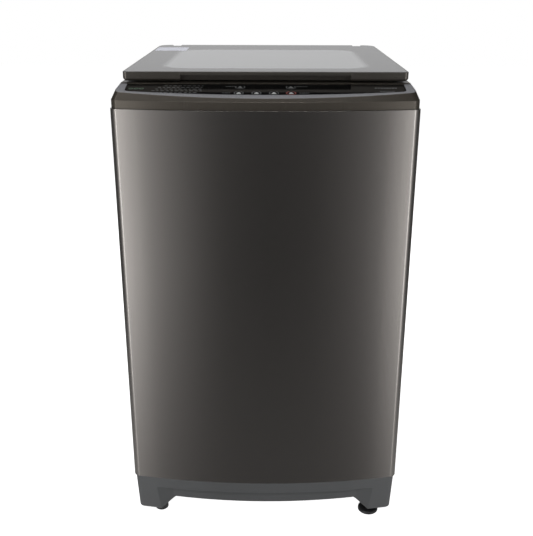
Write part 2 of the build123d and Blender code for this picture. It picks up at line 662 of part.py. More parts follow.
# ---- parts behind the opening -------------------------------------------------------
HOUSING_WALL = 2.0
housing_grow = DRAWER_GAP + HOUSING_WALL
drawer_mid_x = (DRAWER_X0 + DRAWER_X1) / 2
drawer_mid_z = (DRAWER_Z0 + DRAWER_Z1) / 2
drawer_w = DRAWER_X1 - DRAWER_X0
drawer_h = DRAWER_Z1 - DRAWER_Z0
COLLAR_BACK_Y = OPENING_REAR_Y + FRAME_WALL
with BuildPart() as dispenser_housing:
    with BuildSketch(Plane.XZ.offset(-COLLAR_BACK_Y)):
        with Locations((drawer_mid_x, drawer_mid_z)):
            Rectangle(drawer_w + 2 * housing_grow, drawer_h + 2 * housing_grow)
            Rectangle(drawer_w + 2 * DRAWER_GAP, drawer_h + 2 * DRAWER_GAP, mode=Mode.SUBTRACT)
    extrude(amount=-(DRAWER_Y1 - COLLAR_BACK_Y + DRAWER_GAP))
    with BuildSketch(Plane.XZ.offset(-(DRAWER_Y1 + DRAWER_GAP))):
        with Locations((drawer_mid_x, drawer_mid_z)):
            Rectangle(drawer_w + 2 * housing_grow, drawer_h + 2 * housing_grow)
    extrude(amount=-HOUSING_WALL)
    # water spout on the left and drain slot in the floor
    with BuildSketch(Plane.YZ.offset(DRAWER_X0 - housing_grow)):
        with Locations((270.0, drawer_mid_z + 6)):
            Circle(9.0)
    extrude(amount=-14.0)
    with BuildSketch(Plane.YZ.offset(DRAWER_X0 - housing_grow - 15.0)):
        with Locations((270.0, drawer_mid_z + 6)):
            Circle(7.0)
    extrude(amount=18.0, mode=Mode.SUBTRACT)
    with Locations((drawer_mid_x, 262.0, DRAWER_Z0 - housing_grow)):
        Box(80.0, 30.0, 8.0, mode=Mode.SUBTRACT)
save(dispenser_housing, "dispenser_housing")

DRAWER_FRONT_Y = OPENING_REAR_Y - 2.0
with BuildPart() as detergent_drawer:
    with BuildSketch(Plane.XY.offset(DRAWER_Z0)):
        with Locations((drawer_mid_x, (DRAWER_FRONT_Y + DRAWER_Y1) / 2)):
            RectangleRounded(drawer_w, DRAWER_Y1 - DRAWER_FRONT_Y, 3.0)
    extrude(amount=drawer_h)
    with BuildSketch(Plane.XY.offset(DRAWER_Z0 + 2.0)):
        with Locations((drawer_mid_x - 31.0, (DRAWER_FRONT_Y + DRAWER_Y1) / 2 + 2)):
            RectangleRounded(60.0, DRAWER_Y1 - DRAWER_FRONT_Y - 10.0, 4.0)
        with Locations((drawer_mid_x + 32.0, (DRAWER_FRONT_Y + DRAWER_Y1) / 2 + 2)):
            RectangleRounded(58.0, DRAWER_Y1 - DRAWER_FRONT_Y - 10.0, 4.0)
    extrude(amount=drawer_h, mode=Mode.SUBTRACT)
    # finger scoop in the front wall
    with BuildSketch(Plane.XZ.offset(-(DRAWER_FRONT_Y + 6.0))):
        with Locations((drawer_mid_x, DRAWER_Z1)):
            SlotOverall(50.0, 16.0)
    extrude(amount=20.0, mode=Mode.SUBTRACT)
save(detergent_drawer, "detergent_drawer")

for name, x in zip(("inlet_valve_cold", "inlet_valve_hot"), VALVE_XS):
    with BuildPart() as inlet_valve:
        with BuildSketch(Plane.XZ.offset(-POCKET_Y)):
            with Locations((x, VALVE_Z)):
                Circle(17.0)
        extrude(amount=-3.0)
        with BuildSketch(Plane.XZ.offset(-(POCKET_Y + 3.0))):
            with Locations((x, VALVE_Z)):
                Circle(THREAD_R)
        extrude(amount=-25.0)
        with BuildSketch(Plane.XZ.offset(-(POCKET_Y - FRAME_WALL))):
            with Locations((x, VALVE_Z)):
                Circle(12.0)
        extrude(amount=-FRAME_WALL)
        with BuildSketch(Plane.XZ.offset(-(POCKET_Y - FRAME_WALL))):
            with Locations((x, VALVE_Z)):
                RectangleRounded(34.0, 34.0, 5.0)
        extrude(amount=38.0)
        with BuildSketch(Plane.XZ.offset(-(POCKET_Y + 40.0))):
            with Locations((x, VALVE_Z)):
                Circle(9.5)
        extrude(amount=30.0, mode=Mode.SUBTRACT)
        # outlet nozzle
        with BuildSketch(Plane.XZ.offset(-(POCKET_Y - FRAME_WALL - 38.0))):
            with Locations((x, VALVE_Z + 6)):
                Circle(7.0)
        extrude(amount=20.0)
    save(inlet_valve, name)

with BuildPart() as main_board_case:
    with Locations((-30.0, COLLAR_BACK_Y, 948.0)):
        Box(84.0, 58.0, 38.0, align=(Align.CENTER, Align.MIN, Align.CENTER))
    fillet(main_board_case.edges().filter_by(Axis.Z), 4.0)
save(main_board_case, "main_board_case")

with BuildPart() as water_level_sensor:
    with BuildSketch(Plane.YZ.offset(DRAWER_X1 + housing_grow)):
        with Locations((262.0, 948.0)):
            Circle(20.0)
    extrude(amount=14.0)
    with BuildSketch(Plane.YZ.offset(DRAWER_X1 + housing_grow + 14.0)):
        with Locations((262.0, 948.0)):
            Circle(4.0)
    extrude(amount=12.0)
save(water_level_sensor, "water_level_sensor")

with BuildPart() as lid_switch:
    with Locations((-OPENING_HALF - FRAME_WALL, 90.0, 952.0)):
        Box(18.0, 44.0, 22.0, align=(Align.MAX, Align.CENTER, Align.CENTER))
    fillet(lid_switch.edges().filter_by(Axis.Z), 2.0)
save(lid_switch, "lid_switch")

# ---- lid ----------------------------------------------------------------------------
FRAME_T = LID_T - LID_GLASS_T
LINING_T = 2.0
LID_WALL = 3.0
NOTCH_Y0 = 540.0                # along the lid
KNUCKLE_W = 12.0                # solid lid beside each notch
HINGE_PIN_LENGTH = HINGE_NOTCH_W + 2 * KNUCKLE_W - 1.0
RAIL_GAP = 0.2                  # between the mouldings of the front rail


def lid_face(inset, corner):
    """Plan of the lid, square at the front and rounded at the rear."""
    with BuildSketch() as plan:
        with Locations((0, LID_LENGTH / 2)):
            Rectangle(2 * (LID_HALF - inset), LID_LENGTH - 2 * inset)
        fillet(plan.vertices().sort_by(Axis.Y)[-2:], corner)
        fillet(plan.vertices().sort_by(Axis.Y)[:2], max(LID_FRONT_CORNER_R - inset, 2.0))
    return plan.sketch


def window_face(grow):
    """The see-through window of the lid."""
    with BuildSketch() as plan:
        with Locations((0, (WINDOW_Y0 + WINDOW_Y1) / 2)):
            RectangleRounded(2 * (WINDOW_HALF + grow), WINDOW_Y1 - WINDOW_Y0 + 2 * grow,
                             WINDOW_R + grow)
    return plan.sketch


def notch_rects(grow_x, grow_y, mode):
    """Rear notches that the hinge posts stand in, grown sideways and forwards."""
    with Locations(*[(side * HINGE_X, NOTCH_Y0 - grow_y) for side in (-1, 1)]):
        Rectangle(HINGE_NOTCH_W + 2 * grow_x, 60.0, align=(Align.CENTER, Align.MIN), mode=mode)


# the strip of the lid in front of the handle's back wall, which is moulded on its own
with BuildPart() as front_strip:
    with BuildSketch(LID.offset(-1.0)):
        with Locations((0, HANDLE_DEPTH)):
            Rectangle(2 * LID_HALF + 4.0, 60.0, align=(Align.CENTER, Align.MAX))
    extrude(amount=LID_T + 2.0)

with BuildPart() as whole_frame:
    with BuildSketch(LID):
        add(lid_face(0, LID_CORNER_R))
    extrude(amount=FRAME_T)
    chamfer(whole_frame.faces().filter_by(LID).sort_by(Axis.Z)[0].edges(), 4.0)
    # rim round the glass
    with BuildSketch(LID.offset(FRAME_T)):
        add(lid_face(0, LID_CORNER_R))
        add(lid_face(1.6, LID_CORNER_R - 1.6), mode=Mode.SUBTRACT)
    extrude(amount=LID_GLASS_T - 0.6)
    # hollow underside, kept solid round the handle and the hinge notches
    with BuildSketch(LID.offset(-1.0)):
        add(lid_face(6.0, LID_CORNER_R - 6.0))
        add(window_face(LID_WALL), mode=Mode.SUBTRACT)
        Rectangle(2 * (HANDLE_HALF + 3.0), 2 * (HANDLE_DEPTH + 3.0), mode=Mode.SUBTRACT)
        notch_rects(KNUCKLE_W, LID_WALL, Mode.SUBTRACT)
    extrude(amount=FRAME_T - LID_WALL + 1.0, mode=Mode.SUBTRACT)
    with BuildSketch(LID.offset(-1.0)):
        add(window_face(0))
    extrude(amount=FRAME_T + 2.0, mode=Mode.SUBTRACT)
    with BuildSketch(LID.offset(-1.0)):
        notch_rects(0, 0, Mode.ADD)
    extrude(amount=LID_T + 2.0, mode=Mode.SUBTRACT)
    with Locations(*[(side * HINGE_X, HINGE_Y, HINGE_Z) for side in (-1, 1)]):
        Cylinder(HINGE_PIN_R, HINGE_PIN_LENGTH, rotation=(0, 90, 0), mode=Mode.SUBTRACT)

with BuildPart() as lid_frame:
    add(whole_frame.part)
    add(front_strip.part, mode=Mode.SUBTRACT)
save(lid_frame, "lid_frame")

# front rail in three mouldings: a lip over the handle recess, and the two ends
with BuildPart() as lid_front_rail:
    add(whole_frame.part)
    add(front_strip.part, mode=Mode.INTERSECT)
    with BuildSketch(LID.offset(-1.0)):
        Rectangle(2 * HANDLE_HALF, 60.0)
    extrude(amount=HANDLE_LIP + 1.0, mode=Mode.SUBTRACT)
    with BuildSketch(LID.offset(-1.0)):
        with Locations(*[(side * HANDLE_HALF, 0) for side in (-1, 1)]):
            Rectangle(RAIL_GAP, 60.0)
    extrude(amount=LID_T + 2.0, mode=Mode.SUBTRACT)
save(lid_front_rail, "lid_front_rail")

with BuildPart() as lid_lining:
    with BuildSketch(LID):
        add(lid_face(6.1, LID_CORNER_R - 6.1))
        add(window_face(LID_WALL + 0.1), mode=Mode.SUBTRACT)
        Rectangle(2 * (HANDLE_HALF + 3.2), 2 * (HANDLE_DEPTH + 3.2), mode=Mode.SUBTRACT)
        notch_rects(KNUCKLE_W + 0.1, LID_WALL + 0.1, Mode.SUBTRACT)
    extrude(amount=LINING_T)
save(lid_lining, "lid_lining")

with BuildPart() as lid_glass:
    with BuildSketch(LID.offset(FRAME_T)):
        add(lid_face(1.8, LID_CORNER_R - 1.8))
        notch_rects(0.4, 0.4, Mode.SUBTRACT)
    extrude(amount=LID_GLASS_T)
    chamfer(lid_glass.faces().sort_by(Axis.Z)[-1].edges(), 0.8)
save(lid_glass, "lid_glass")

with BuildPart() as hinge_pins:
    with Locations(*[(side * HINGE_X, HINGE_Y, HINGE_Z) for side in (-1, 1)]):
        Cylinder(HINGE_PIN_R, HINGE_PIN_LENGTH, rotation=(0, 90, 0))
save(hinge_pins, "hinge_pins")

with BuildPart() as lid_bumpers:
    with BuildSketch(LID):
        with Locations(*[(side * 262.0, y) for side in (-1, 1) for y in (42.0, 470.0)]):
            Circle(6.0)
    extrude(amount=-2.5, taper=15)
save(lid_bumpers, "lid_bumpers")

# ---- suspension ---------------------------------------------------------------------
ROD_Z0 = 186.0
CUP_Z0 = 190.0
CUP_T = 5.0
CUP_R = 20.0
HANGER_Z = 900.0
HANGER_T = 3.0
SPRING_WIRE_R = 1.6
SPRING_R = 15.5
SPRING_TURNS = 8

with BuildPart() as rod_hangers:
    for sx, sy in CORNERS.values():
        wall_x = sx * (WIDTH / 2 - SHEET)
        with BuildSketch(Plane.XY.offset(HANGER_Z)):
            Polygon(
                (wall_x, sy * 225.0), (wall_x, sy * 290.0), (sx * 240.0, sy * 290.0),
                (sx * 232.0, sy * 280.0), (sx * 232.0, sy * 240.0), (sx * 250.0, sy * 225.0),
                align=None,
            )
            with Locations((sx * ROD_XY, sy * ROD_XY)):
                Circle(ROD_R + 0.5, mode=Mode.SUBTRACT)
        extrude(amount=HANGER_T)
        with Locations((wall_x - sx * 1.5, sy * 257.5, HANGER_Z - 15.0)):
            Box(3.0, 65.0, 30.0)
save(rod_hangers, "rod_hangers")

for corner, (sx, sy) in CORNERS.items():
    with BuildPart() as suspension_rod:
        with Locations((sx * ROD_XY, sy * ROD_XY, ROD_Z0)):
            Cylinder(ROD_R, HANGER_Z + HANGER_T + 4.0 - ROD_Z0,
                     align=(Align.CENTER, Align.CENTER, Align.MIN))
        with Locations((sx * ROD_XY, sy * ROD_XY, HANGER_Z + HANGER_T)):
            Cylinder(9.0, 5.0, align=(Align.CENTER, Align.CENTER, Align.MIN))
        fillet(suspension_rod.edges().sort_by(Axis.Z)[-1], 2.0)
        with Locations((sx * ROD_XY, sy * ROD_XY, CUP_Z0)):
            Cylinder(CUP_R, CUP_T, align=(Align.CENTER, Align.CENTER, Align.MIN))
    save(suspension_rod, f"suspension_rod_{corner}")

    with BuildPart() as suspension_spring:
        spring_z0 = CUP_Z0 + CUP_T + SPRING_WIRE_R + 0.2
        spring_h = LUG_Z0 - SPRING_WIRE_R - 0.2 - spring_z0
        with BuildLine() as coil:
            Helix(spring_h / SPRING_TURNS, spring_h, SPRING_R,
                  center=(sx * ROD_XY, sy * ROD_XY, spring_z0))
        with BuildSketch(Plane(origin=coil.line @ 0, z_dir=coil.line % 0)):
            Circle(SPRING_WIRE_R)
        sweep(path=coil.line, is_frenet=True)
    save(suspension_spring, f"suspension_spring_{corner}")

# ---- outer tub ----------------------------------------------------------------------
SLEEVE_R = 10.0
RIBS = 8
VALVE_HOLE_R = 12.0
DRAIN_VALVE_Y = 0.0
with BuildPart() as outer_tub:
    with BuildSketch(Plane.XZ):
        with BuildLine():
            Polyline(
                (BEARING_R, BOSS_Z0), (BOSS_R, BOSS_Z0), (BOSS_R, TUB_FLOOR_Z0),
                (TUB_R, TUB_FLOOR_Z0), (TUB_R, TUB_Z1 - 8.0), (TUB_R + 8.0, TUB_Z1 - 8.0),
                (TUB_R + 8.0, TUB_Z1), (TUB_R - TUB_WALL, TUB_Z1),
                (TUB_R - TUB_WALL, TUB_FLOOR_Z1), (BOSS_R, TUB_FLOOR_Z1),
                (BOSS_R, BOSS_Z1), (BEARING_R, BOSS_Z1), close=True,
            )
        make_face()
    revolve(axis=Axis.Z)
    # radial ribs under the floor
    with BuildSketch(Plane.XY.offset(PLATE_Z0 + PLATE_T)):
        with PolarLocations(0, RIBS, start_angle=22.5):
            with Locations((145.0, 0)):
                Rectangle(220.0, 3.0)
    extrude(amount=TUB_FLOOR_Z0 - PLATE_Z0 - PLATE_T)
    # hoops round the wall
    for z in (360.0, 500.0, 640.0, 780.0):
        with BuildSketch(Plane.XY.offset(z)):
            Circle(TUB_R + 5.0)
            Circle(TUB_R - 1.0, mode=Mode.SUBTRACT)
        extrude(amount=3.0)
    # suspension lugs
    reach = ROD_XY * sqrt(2)
    with BuildSketch(Plane.XY.offset(LUG_Z0)):
        with PolarLocations(0, 4, start_angle=45.0):
            with Locations((reach / 2 + TUB_R / 2, 0)):
                Rectangle(reach - TUB_R + 4.0, 44.0)
            with Locations((reach, 0)):
                Circle(22.0)
        Circle(TUB_R - 1.0, mode=Mode.SUBTRACT)
    extrude(amount=6.0)
    with BuildSketch(Plane.XY.offset(LUG_Z0)):
        with PolarLocations(0, 4, start_angle=45.0):
            with Locations((reach, 0)):
                Circle(SLEEVE_R + 4.0)
            with Locations(((reach + TUB_R) / 2 - 6.0, 15.0), ((reach + TUB_R) / 2 - 6.0, -15.0)):
                Rectangle(reach - TUB_R - 12.0, 3.0)
        Circle(TUB_R - 1.0, mode=Mode.SUBTRACT)
    extrude(amount=LUG_T)
    with BuildSketch(Plane.XY.offset(LUG_Z0 - 1.0)):
        with PolarLocations(0, 4, start_angle=45.0):
            with Locations((reach, 0)):
                Circle(SLEEVE_R)
    extrude(amount=LUG_T + 2.0, mode=Mode.SUBTRACT)
    with Locations((DRAIN_X, DRAIN_VALVE_Y, TUB_FLOOR_Z0)):
        Cylinder(VALVE_HOLE_R, 30.0, mode=Mode.SUBTRACT)
save(outer_tub, "outer_tub")

with BuildPart() as tub_cover:
    with BuildSketch(Plane.XZ):
        with BuildLine():
            Polyline(
                (TUB_COVER_R, TUB_Z1), (TUB_R + 8.0, TUB_Z1), (TUB_R + 8.0, TUB_Z1 + 4.0),
                (TUB_COVER_R + 20.0, TUB_Z1 + 8.0), (TUB_COVER_R + 4.0, TUB_Z1 + 14.0),
                (TUB_COVER_R, TUB_Z1 + 14.0), close=True,
            )
        make_face()
    revolve(axis=Axis.Z)
save(tub_cover, "tub_cover")

with BuildPart() as rod_sleeves:
    with BuildSketch(Plane.XY.offset(LUG_Z0 - 6.0)):
        with PolarLocations(0, 4, start_angle=45.0):
            with Locations((reach, 0)):
                Circle(SLEEVE_R)
                Circle(ROD_R + 0.5, mode=Mode.SUBTRACT)
    extrude(amount=LUG_T + 12.0)
save(rod_sleeves, "rod_sleeves")


def boss_ring(z0, height, inner_r):
    """A ring pressed into the tub's boss round the spin shaft."""
    with BuildPart() as ring:
        with BuildSketch(Plane.XY.offset(z0)):
            Circle(BEARING_R)
            Circle(inner_r, mode=Mode.SUBTRACT)
        extrude(amount=height)
        chamfer(ring.edges().filter_by(GeomType.CIRCLE), 0.6)
    return ring.part


with BuildPart() as tub_bearings:
    add(boss_ring(152.0, 16.0, SPIN_SHAFT_R + RUNNING))
    add(boss_ring(186.0, 16.0, SPIN_SHAFT_R + RUNNING))
save(tub_bearings, "tub_bearings")

with BuildPart() as shaft_seal:
    add(boss_ring(202.0, 9.0, SPIN_SHAFT_R + 0.3))
save(shaft_seal, "shaft_seal")

with BuildPart() as drive_plate:
    with BuildSketch(Plane.XY.offset(PLATE_Z0)):
        with Locations((0, 50.0)):
            RectangleRounded(300.0, 360.0, 20.0)
        Circle(BOSS_R + 0.3, mode=Mode.SUBTRACT)
        with Locations((0, MOTOR_Y)):
            Circle(30.0, mode=Mode.SUBTRACT)
        with Locations((-110.0, 60.0), (110.0, 60.0)):
            SlotOverall(60.0, 22.0, rotation=90, mode=Mode.SUBTRACT)
    extrude(amount=PLATE_T)
save(drive_plate, "drive_plate")

BOLT_POINTS = [(95 * cos(radians(a)), 95 * sin(radians(a))) for a in (22.5, 157.5, 202.5, 337.5)]
MOTOR_BOLTS = [(side * 70.0, MOTOR_Y + dy) for side in (-1, 1) for dy in (-30.0, 30.0)]
with BuildPart() as clutch_housing:
    with BuildSketch(Plane.XY.offset(CLUTCH_Z0)):
        Circle(CLUTCH_R)
    extrude(amount=PLATE_Z0 - CLUTCH_Z0)
    fillet(clutch_housing.edges().sort_by(Axis.Z)[0], 8.0)
    with BuildSketch(Plane.XY.offset(PLATE_Z0 - 6.0)):
        Circle(88.0)
    extrude(amount=6.0)
    with BuildSketch(Plane.XY.offset(CLUTCH_Z0 + 6.0)):
        Circle(CLUTCH_R - 5.0)
    extrude(amount=100.0, mode=Mode.SUBTRACT)
    with Locations((0, 0, CLUTCH_Z0)):
        Cylinder(9.0 + RUNNING, 30.0, mode=Mode.SUBTRACT)
    with BuildSketch(Plane.XY.offset(CLUTCH_Z0 + 10.0)):
        with PolarLocations(0, 6):
            with Locations((72.0, 0)):
                Rectangle(16.0, 4.0)
    extrude(amount=PLATE_Z0 - CLUTCH_Z0 - 10.0)
save(clutch_housing, "clutch_housing")

with BuildPart() as drive_bolts:
    with Locations(*[(x * 0.83, y * 0.83, PLATE_Z0 - 6.0) for x, y in BOLT_POINTS]):
        Cylinder(5.0, 4.0, align=(Align.CENTER, Align.CENTER, Align.MAX))
    with Locations(*[(x, y, PLATE_Z0 + PLATE_T) for x, y in MOTOR_BOLTS]):
        Cylinder(5.0, 5.0, align=(Align.CENTER, Align.CENTER, Align.MIN))
save(drive_bolts, "drive_bolts")

with BuildPart() as motor_body:
    with BuildSketch(Plane.XY.offset(MOTOR_Z0)):
        with Locations((0, MOTOR_Y)):
            Circle(MOTOR_R)
    extrude(amount=64.0)
    fillet(motor_body.edges().filter_by(GeomType.CIRCLE), 8.0)
    with BuildSketch(Plane.XY.offset(MOTOR_Z0 + 26.0)):
        with Locations((0, MOTOR_Y)):
            Circle(MOTOR_R + 3.0)
    extrude(amount=12.0)
    with BuildSketch(Plane.XY.offset(MOTOR_Z0 + 44.0)):
        with Locations(*MOTOR_BOLTS):
            Circle(8.0)
        with Locations((0, MOTOR_Y - 30.0), (0, MOTOR_Y + 30.0)):
            Rectangle(140.0, 14.0)
    extrude(amount=6.0)
    with BuildSketch(Plane.XY.offset(MOTOR_Z0 + 50.0)):
        with Locations(*MOTOR_BOLTS):
            Circle(8.0)
    extrude(amount=PLATE_Z0 - MOTOR_Z0 - 50.0)
    with Locations((0, MOTOR_Y, MOTOR_Z0 - 1.0)):
        Cylinder(6.0 + RUNNING, 31.0, align=(Align.CENTER, Align.CENTER, Align.MIN),
                 mode=Mode.SUBTRACT)
save(motor_body, "motor_body")

BELT_MID_Z = PULLEY_Z0 + PULLEY_T / 2


def belt_outline(grow):
    """Plan of the belt's loop, grown outwards from its inner face."""
    with BuildSketch() as plan:
        Circle(PULLEY_R - GROOVE_DEPTH + 1.0 + grow)
        with Locations((0, MOTOR_Y)):
            Circle(MOTOR_PULLEY_R - GROOVE_DEPTH + 1.0 + grow)
        make_hull()
    return plan.sketch


with BuildPart() as drive_belt:
    with BuildSketch(Plane.XY.offset(BELT_MID_Z - BELT_W / 2)):
        add(belt_outline(BELT_T))
        add(belt_outline(0), mode=Mode.SUBTRACT)
    extrude(amount=BELT_W)
save(drive_belt, "drive_belt")


def grooved_wheel(center_y, outer_r, z0, height):
    """A flat wheel with a groove for the belt round its rim."""
    with BuildPart() as wheel:
        with Locations((0, center_y, z0)):
            Cylinder(outer_r, height, align=(Align.CENTER, Align.CENTER, Align.MIN))
        with BuildSketch(Plane.XY.offset(BELT_MID_Z - BELT_W / 2 - 1.0)):
            with Locations((0, center_y)):
                Circle(outer_r + 1.0)
                Circle(outer_r - GROOVE_DEPTH, mode=Mode.SUBTRACT)
        extrude(amount=BELT_W + 2.0, mode=Mode.SUBTRACT)
    return wheel.part


with BuildPart() as drive_pulley:
    add(grooved_wheel(0, PULLEY_R, PULLEY_Z0, PULLEY_T))
    with BuildSketch(Plane.XY.offset(PULLEY_Z0 - 1.0)):
        with PolarLocations(34.0, 6):
            Circle(12.0)
    extrude(amount=PULLEY_T + 2.0, mode=Mode.SUBTRACT)
    with Locations((0, 0, PULLEY_Z0 - 4.0)):
        Cylinder(16.0, PULLEY_T + 6.0, align=(Align.CENTER, Align.CENTER, Align.MIN))
        Cylinder(9.0, PULLEY_T + 6.0, align=(Align.CENTER, Align.CENTER, Align.MIN),
                 mode=Mode.SUBTRACT)
save(drive_pulley, "drive_pulley")

with BuildPart() as input_shaft:
    with Locations((0, 0, PULLEY_Z0 - 6.0)):
        Cylinder(9.0, 52.0, align=(Align.CENTER, Align.CENTER, Align.MIN))
    chamfer(input_shaft.edges().filter_by(GeomType.CIRCLE), 1.0)
save(input_shaft, "input_shaft")

with BuildPart() as motor_pulley:
    add(grooved_wheel(MOTOR_Y, MOTOR_PULLEY_R, PULLEY_Z0 + 2.0, PULLEY_T - 4.0))
    with Locations((0, MOTOR_Y, PULLEY_Z0 - 4.0)):
        Cylinder(6.0, 52.0, align=(Align.CENTER, Align.CENTER, Align.MIN))
save(motor_pulley, "motor_pulley")

# ---- drain --------------------------------------------------------------------------
HOSE_INNER_R = 13.7
HOSE_OUTER_R = 16.5
HOSE_Z = 148.0
VALVE_BODY_R = 22.0
VALVE_BODY_Z0 = 122.0
with BuildPart() as drain_valve:
    with Locations((DRAIN_X, DRAIN_VALVE_Y, TUB_FLOOR_Z0 - 12.0)):
        Cylinder(30.0, 12.0, align=(Align.CENTER, Align.CENTER, Align.MIN))
    with Locations((DRAIN_X, DRAIN_VALVE_Y, VALVE_BODY_Z0)):
        Cylinder(VALVE_BODY_R, TUB_FLOOR_Z0 - 10.0 - VALVE_BODY_Z0,
                 align=(Align.CENTER, Align.CENTER, Align.MIN))
    with BuildSketch(Plane.XZ.offset(-DRAIN_VALVE_Y)):
        with Locations((DRAIN_X, HOSE_Z)):
            Circle(HOSE_INNER_R)
    extrude(amount=-44.0)
    with Locations((DRAIN_X, DRAIN_VALVE_Y, VALVE_BODY_Z0 + 6.0)):
        Cylinder(VALVE_HOLE_R, 70.0, align=(Align.CENTER, Align.CENTER, Align.MIN),
                 mode=Mode.SUBTRACT)
    with BuildSketch(Plane.XZ.offset(-DRAIN_VALVE_Y)):
        with Locations((DRAIN_X, HOSE_Z)):
            Circle(HOSE_INNER_R - 3.0)
    extrude(amount=-50.0, mode=Mode.SUBTRACT)
    # its motor, high enough to clear the base deck when the tub sinks
    with Locations((DRAIN_X - VALVE_BODY_R - 30.0, DRAIN_VALVE_Y, HOSE_Z - 5.0)):
        Box(62.0, 34.0, 28.0)
save(drain_valve, "drain_valve")

with BuildPart() as drain_hose:
    with BuildLine() as route:
        FilletPolyline(
            (DRAIN_X, DRAIN_VALVE_Y + 26.0, HOSE_Z), (DRAIN_X, DRAIN_RISE_Y, HOSE_Z),
            (DRAIN_X, DRAIN_RISE_Y, 84.0), radius=17.5,
        )
    with BuildSketch(Plane.XZ.offset(-(DRAIN_VALVE_Y + 26.0))):
        with Locations((DRAIN_X, HOSE_Z)):
            Circle(HOSE_OUTER_R)
            Circle(HOSE_INNER_R, mode=Mode.SUBTRACT)
    sweep(path=route.line)
save(drain_hose, "drain_hose")

SPIGOT_TOP_Z = 108.0
COLLAR_Y = 284.0
COLLAR_T = 12.0
with BuildPart() as drain_spigot:
    with BuildLine() as route:
        FilletPolyline(
            (DRAIN_X, DRAIN_RISE_Y, SPIGOT_TOP_Z), (DRAIN_X, DRAIN_RISE_Y, DRAIN_Z),
            (DRAIN_X, REAR_Y - 2.0, DRAIN_Z), radius=14.0,
        )
    with BuildSketch(Plane.XY.offset(SPIGOT_TOP_Z)):
        with Locations((DRAIN_X, DRAIN_RISE_Y)):
            Circle(DRAIN_R)
            Circle(DRAIN_R - 2.5, mode=Mode.SUBTRACT)
    sweep(path=route.line)
    # collar that stops the hose, hung from the base deck by a post
    with BuildSketch(Plane.XZ.offset(-COLLAR_Y)):
        with Locations((DRAIN_X, DRAIN_Z)):
            Circle(DRAIN_R + 3.0)
            Circle(DRAIN_R - 1.0, mode=Mode.SUBTRACT)
    extrude(amount=-COLLAR_T)
    with Locations((DRAIN_X, COLLAR_Y + COLLAR_T / 2, DRAIN_Z + DRAIN_R)):
        Box(24.0, COLLAR_T, DECK_Z0 - DRAIN_Z - DRAIN_R,
            align=(Align.CENTER, Align.CENTER, Align.MIN))
save(drain_spigot, "drain_spigot")

# ---- basket -------------------------------------------------------------------------
HUB_Z0 = 214.0
HUB_R = 28.0
BASE_DISC_T = 8.0
UPSTAND_Z = 262.0
with BuildPart() as basket_wall:
    with BuildSketch(Plane.XY.offset(BASKET_Z0)):
        Circle(BASKET_R)
        Circle(BASKET_R - BASKET_SHEET, mode=Mode.SUBTRACT)
    extrude(amount=BASKET_Z1 - BASKET_Z0)
    row_pitch = (BASKET_Z1 - UPSTAND_Z - 60.0) / (HOLE_ROWS - 1)
    for row in range(HOLE_ROWS):
        with PolarLocations(0, HOLE_COLUMNS, start_angle=(row % 2) * 180.0 / HOLE_COLUMNS):
            with Locations((BASKET_R, 0, UPSTAND_Z + 20.0 + row_pitch * row)):
                Cylinder(HOLE_R, 8.0, rotation=(0, 90, 0), mode=Mode.SUBTRACT)
save(basket_wall, "basket_wall")

with BuildPart() as basket_base:
    with BuildSketch(Plane.XZ):
        with BuildLine():
            outer = BASKET_R - BASKET_SHEET - 0.1
            Polyline(
                (HUB_R + 0.1, BASKET_Z0), (outer, BASKET_Z0), (outer, UPSTAND_Z),
                (outer - 5.0, UPSTAND_Z), (outer - 9.0, BASKET_Z0 + BASE_DISC_T + 4.0),
                (outer - 14.0, BASKET_Z0 + BASE_DISC_T), (HUB_R + 0.1, BASKET_Z0 + BASE_DISC_T),
                close=True,
            )
        make_face()
    revolve(axis=Axis.Z)
    with BuildSketch(Plane.XY.offset(BASKET_Z0 - 1.0)):
        with PolarLocations(212.0, 16):
            Circle(5.0)
        with PolarLocations(120.0, 12):
            SlotOverall(40.0, 8.0)
    extrude(amount=BASE_DISC_T + 2.0, mode=Mode.SUBTRACT)
save(basket_base, "basket_base")

with BuildPart() as basket_hub:
    with BuildSketch(Plane.XY.offset(HUB_Z0)):
        Circle(HUB_R + 14.0)
        with PolarLocations(0, 3):
            with Locations((95.0, 0)):
                RectangleRounded(190.0, 34.0, 10.0)
        Circle(SPIN_SHAFT_R, mode=Mode.SUBTRACT)
    extrude(amount=BASKET_Z0 - HUB_Z0)
    with BuildSketch(Plane.XY.offset(BASKET_Z0)):
        Circle(HUB_R)
        Circle(SPIN_SHAFT_R, mode=Mode.SUBTRACT)
    extrude(amount=10.0)
save(basket_hub, "basket_hub")

with BuildPart() as spin_shaft:
    with Locations((0, 0, 118.0)):
        Cylinder(SPIN_SHAFT_R, 114.0, align=(Align.CENTER, Align.CENTER, Align.MIN))
        Cylinder(WASH_SHAFT_R + RUNNING, 114.0, align=(Align.CENTER, Align.CENTER, Align.MIN),
                 mode=Mode.SUBTRACT)
save(spin_shaft, "spin_shaft")

with BuildPart() as balance_ring:
    with BuildSketch(Plane.XZ):
        with BuildLine():
            outer = BASKET_R - BASKET_SHEET - 0.1
            Polyline(
                (RING_INNER_R, RING_Z1 - 34.0), (RING_INNER_R + 6.0, RING_Z1 - 42.0),
                (outer, RING_Z1 - 42.0), (outer, BASKET_Z1 + 0.2), (BASKET_R, BASKET_Z1 + 0.2),
                (BASKET_R, RING_Z1), (RING_INNER_R, RING_Z1), close=True,
            )
        make_face()
    revolve(axis=Axis.Z)
    fillet(balance_ring.edges().filter_by(GeomType.CIRCLE).group_by(Axis.Z)[-1], 6.0)
save(balance_ring, "balance_ring")

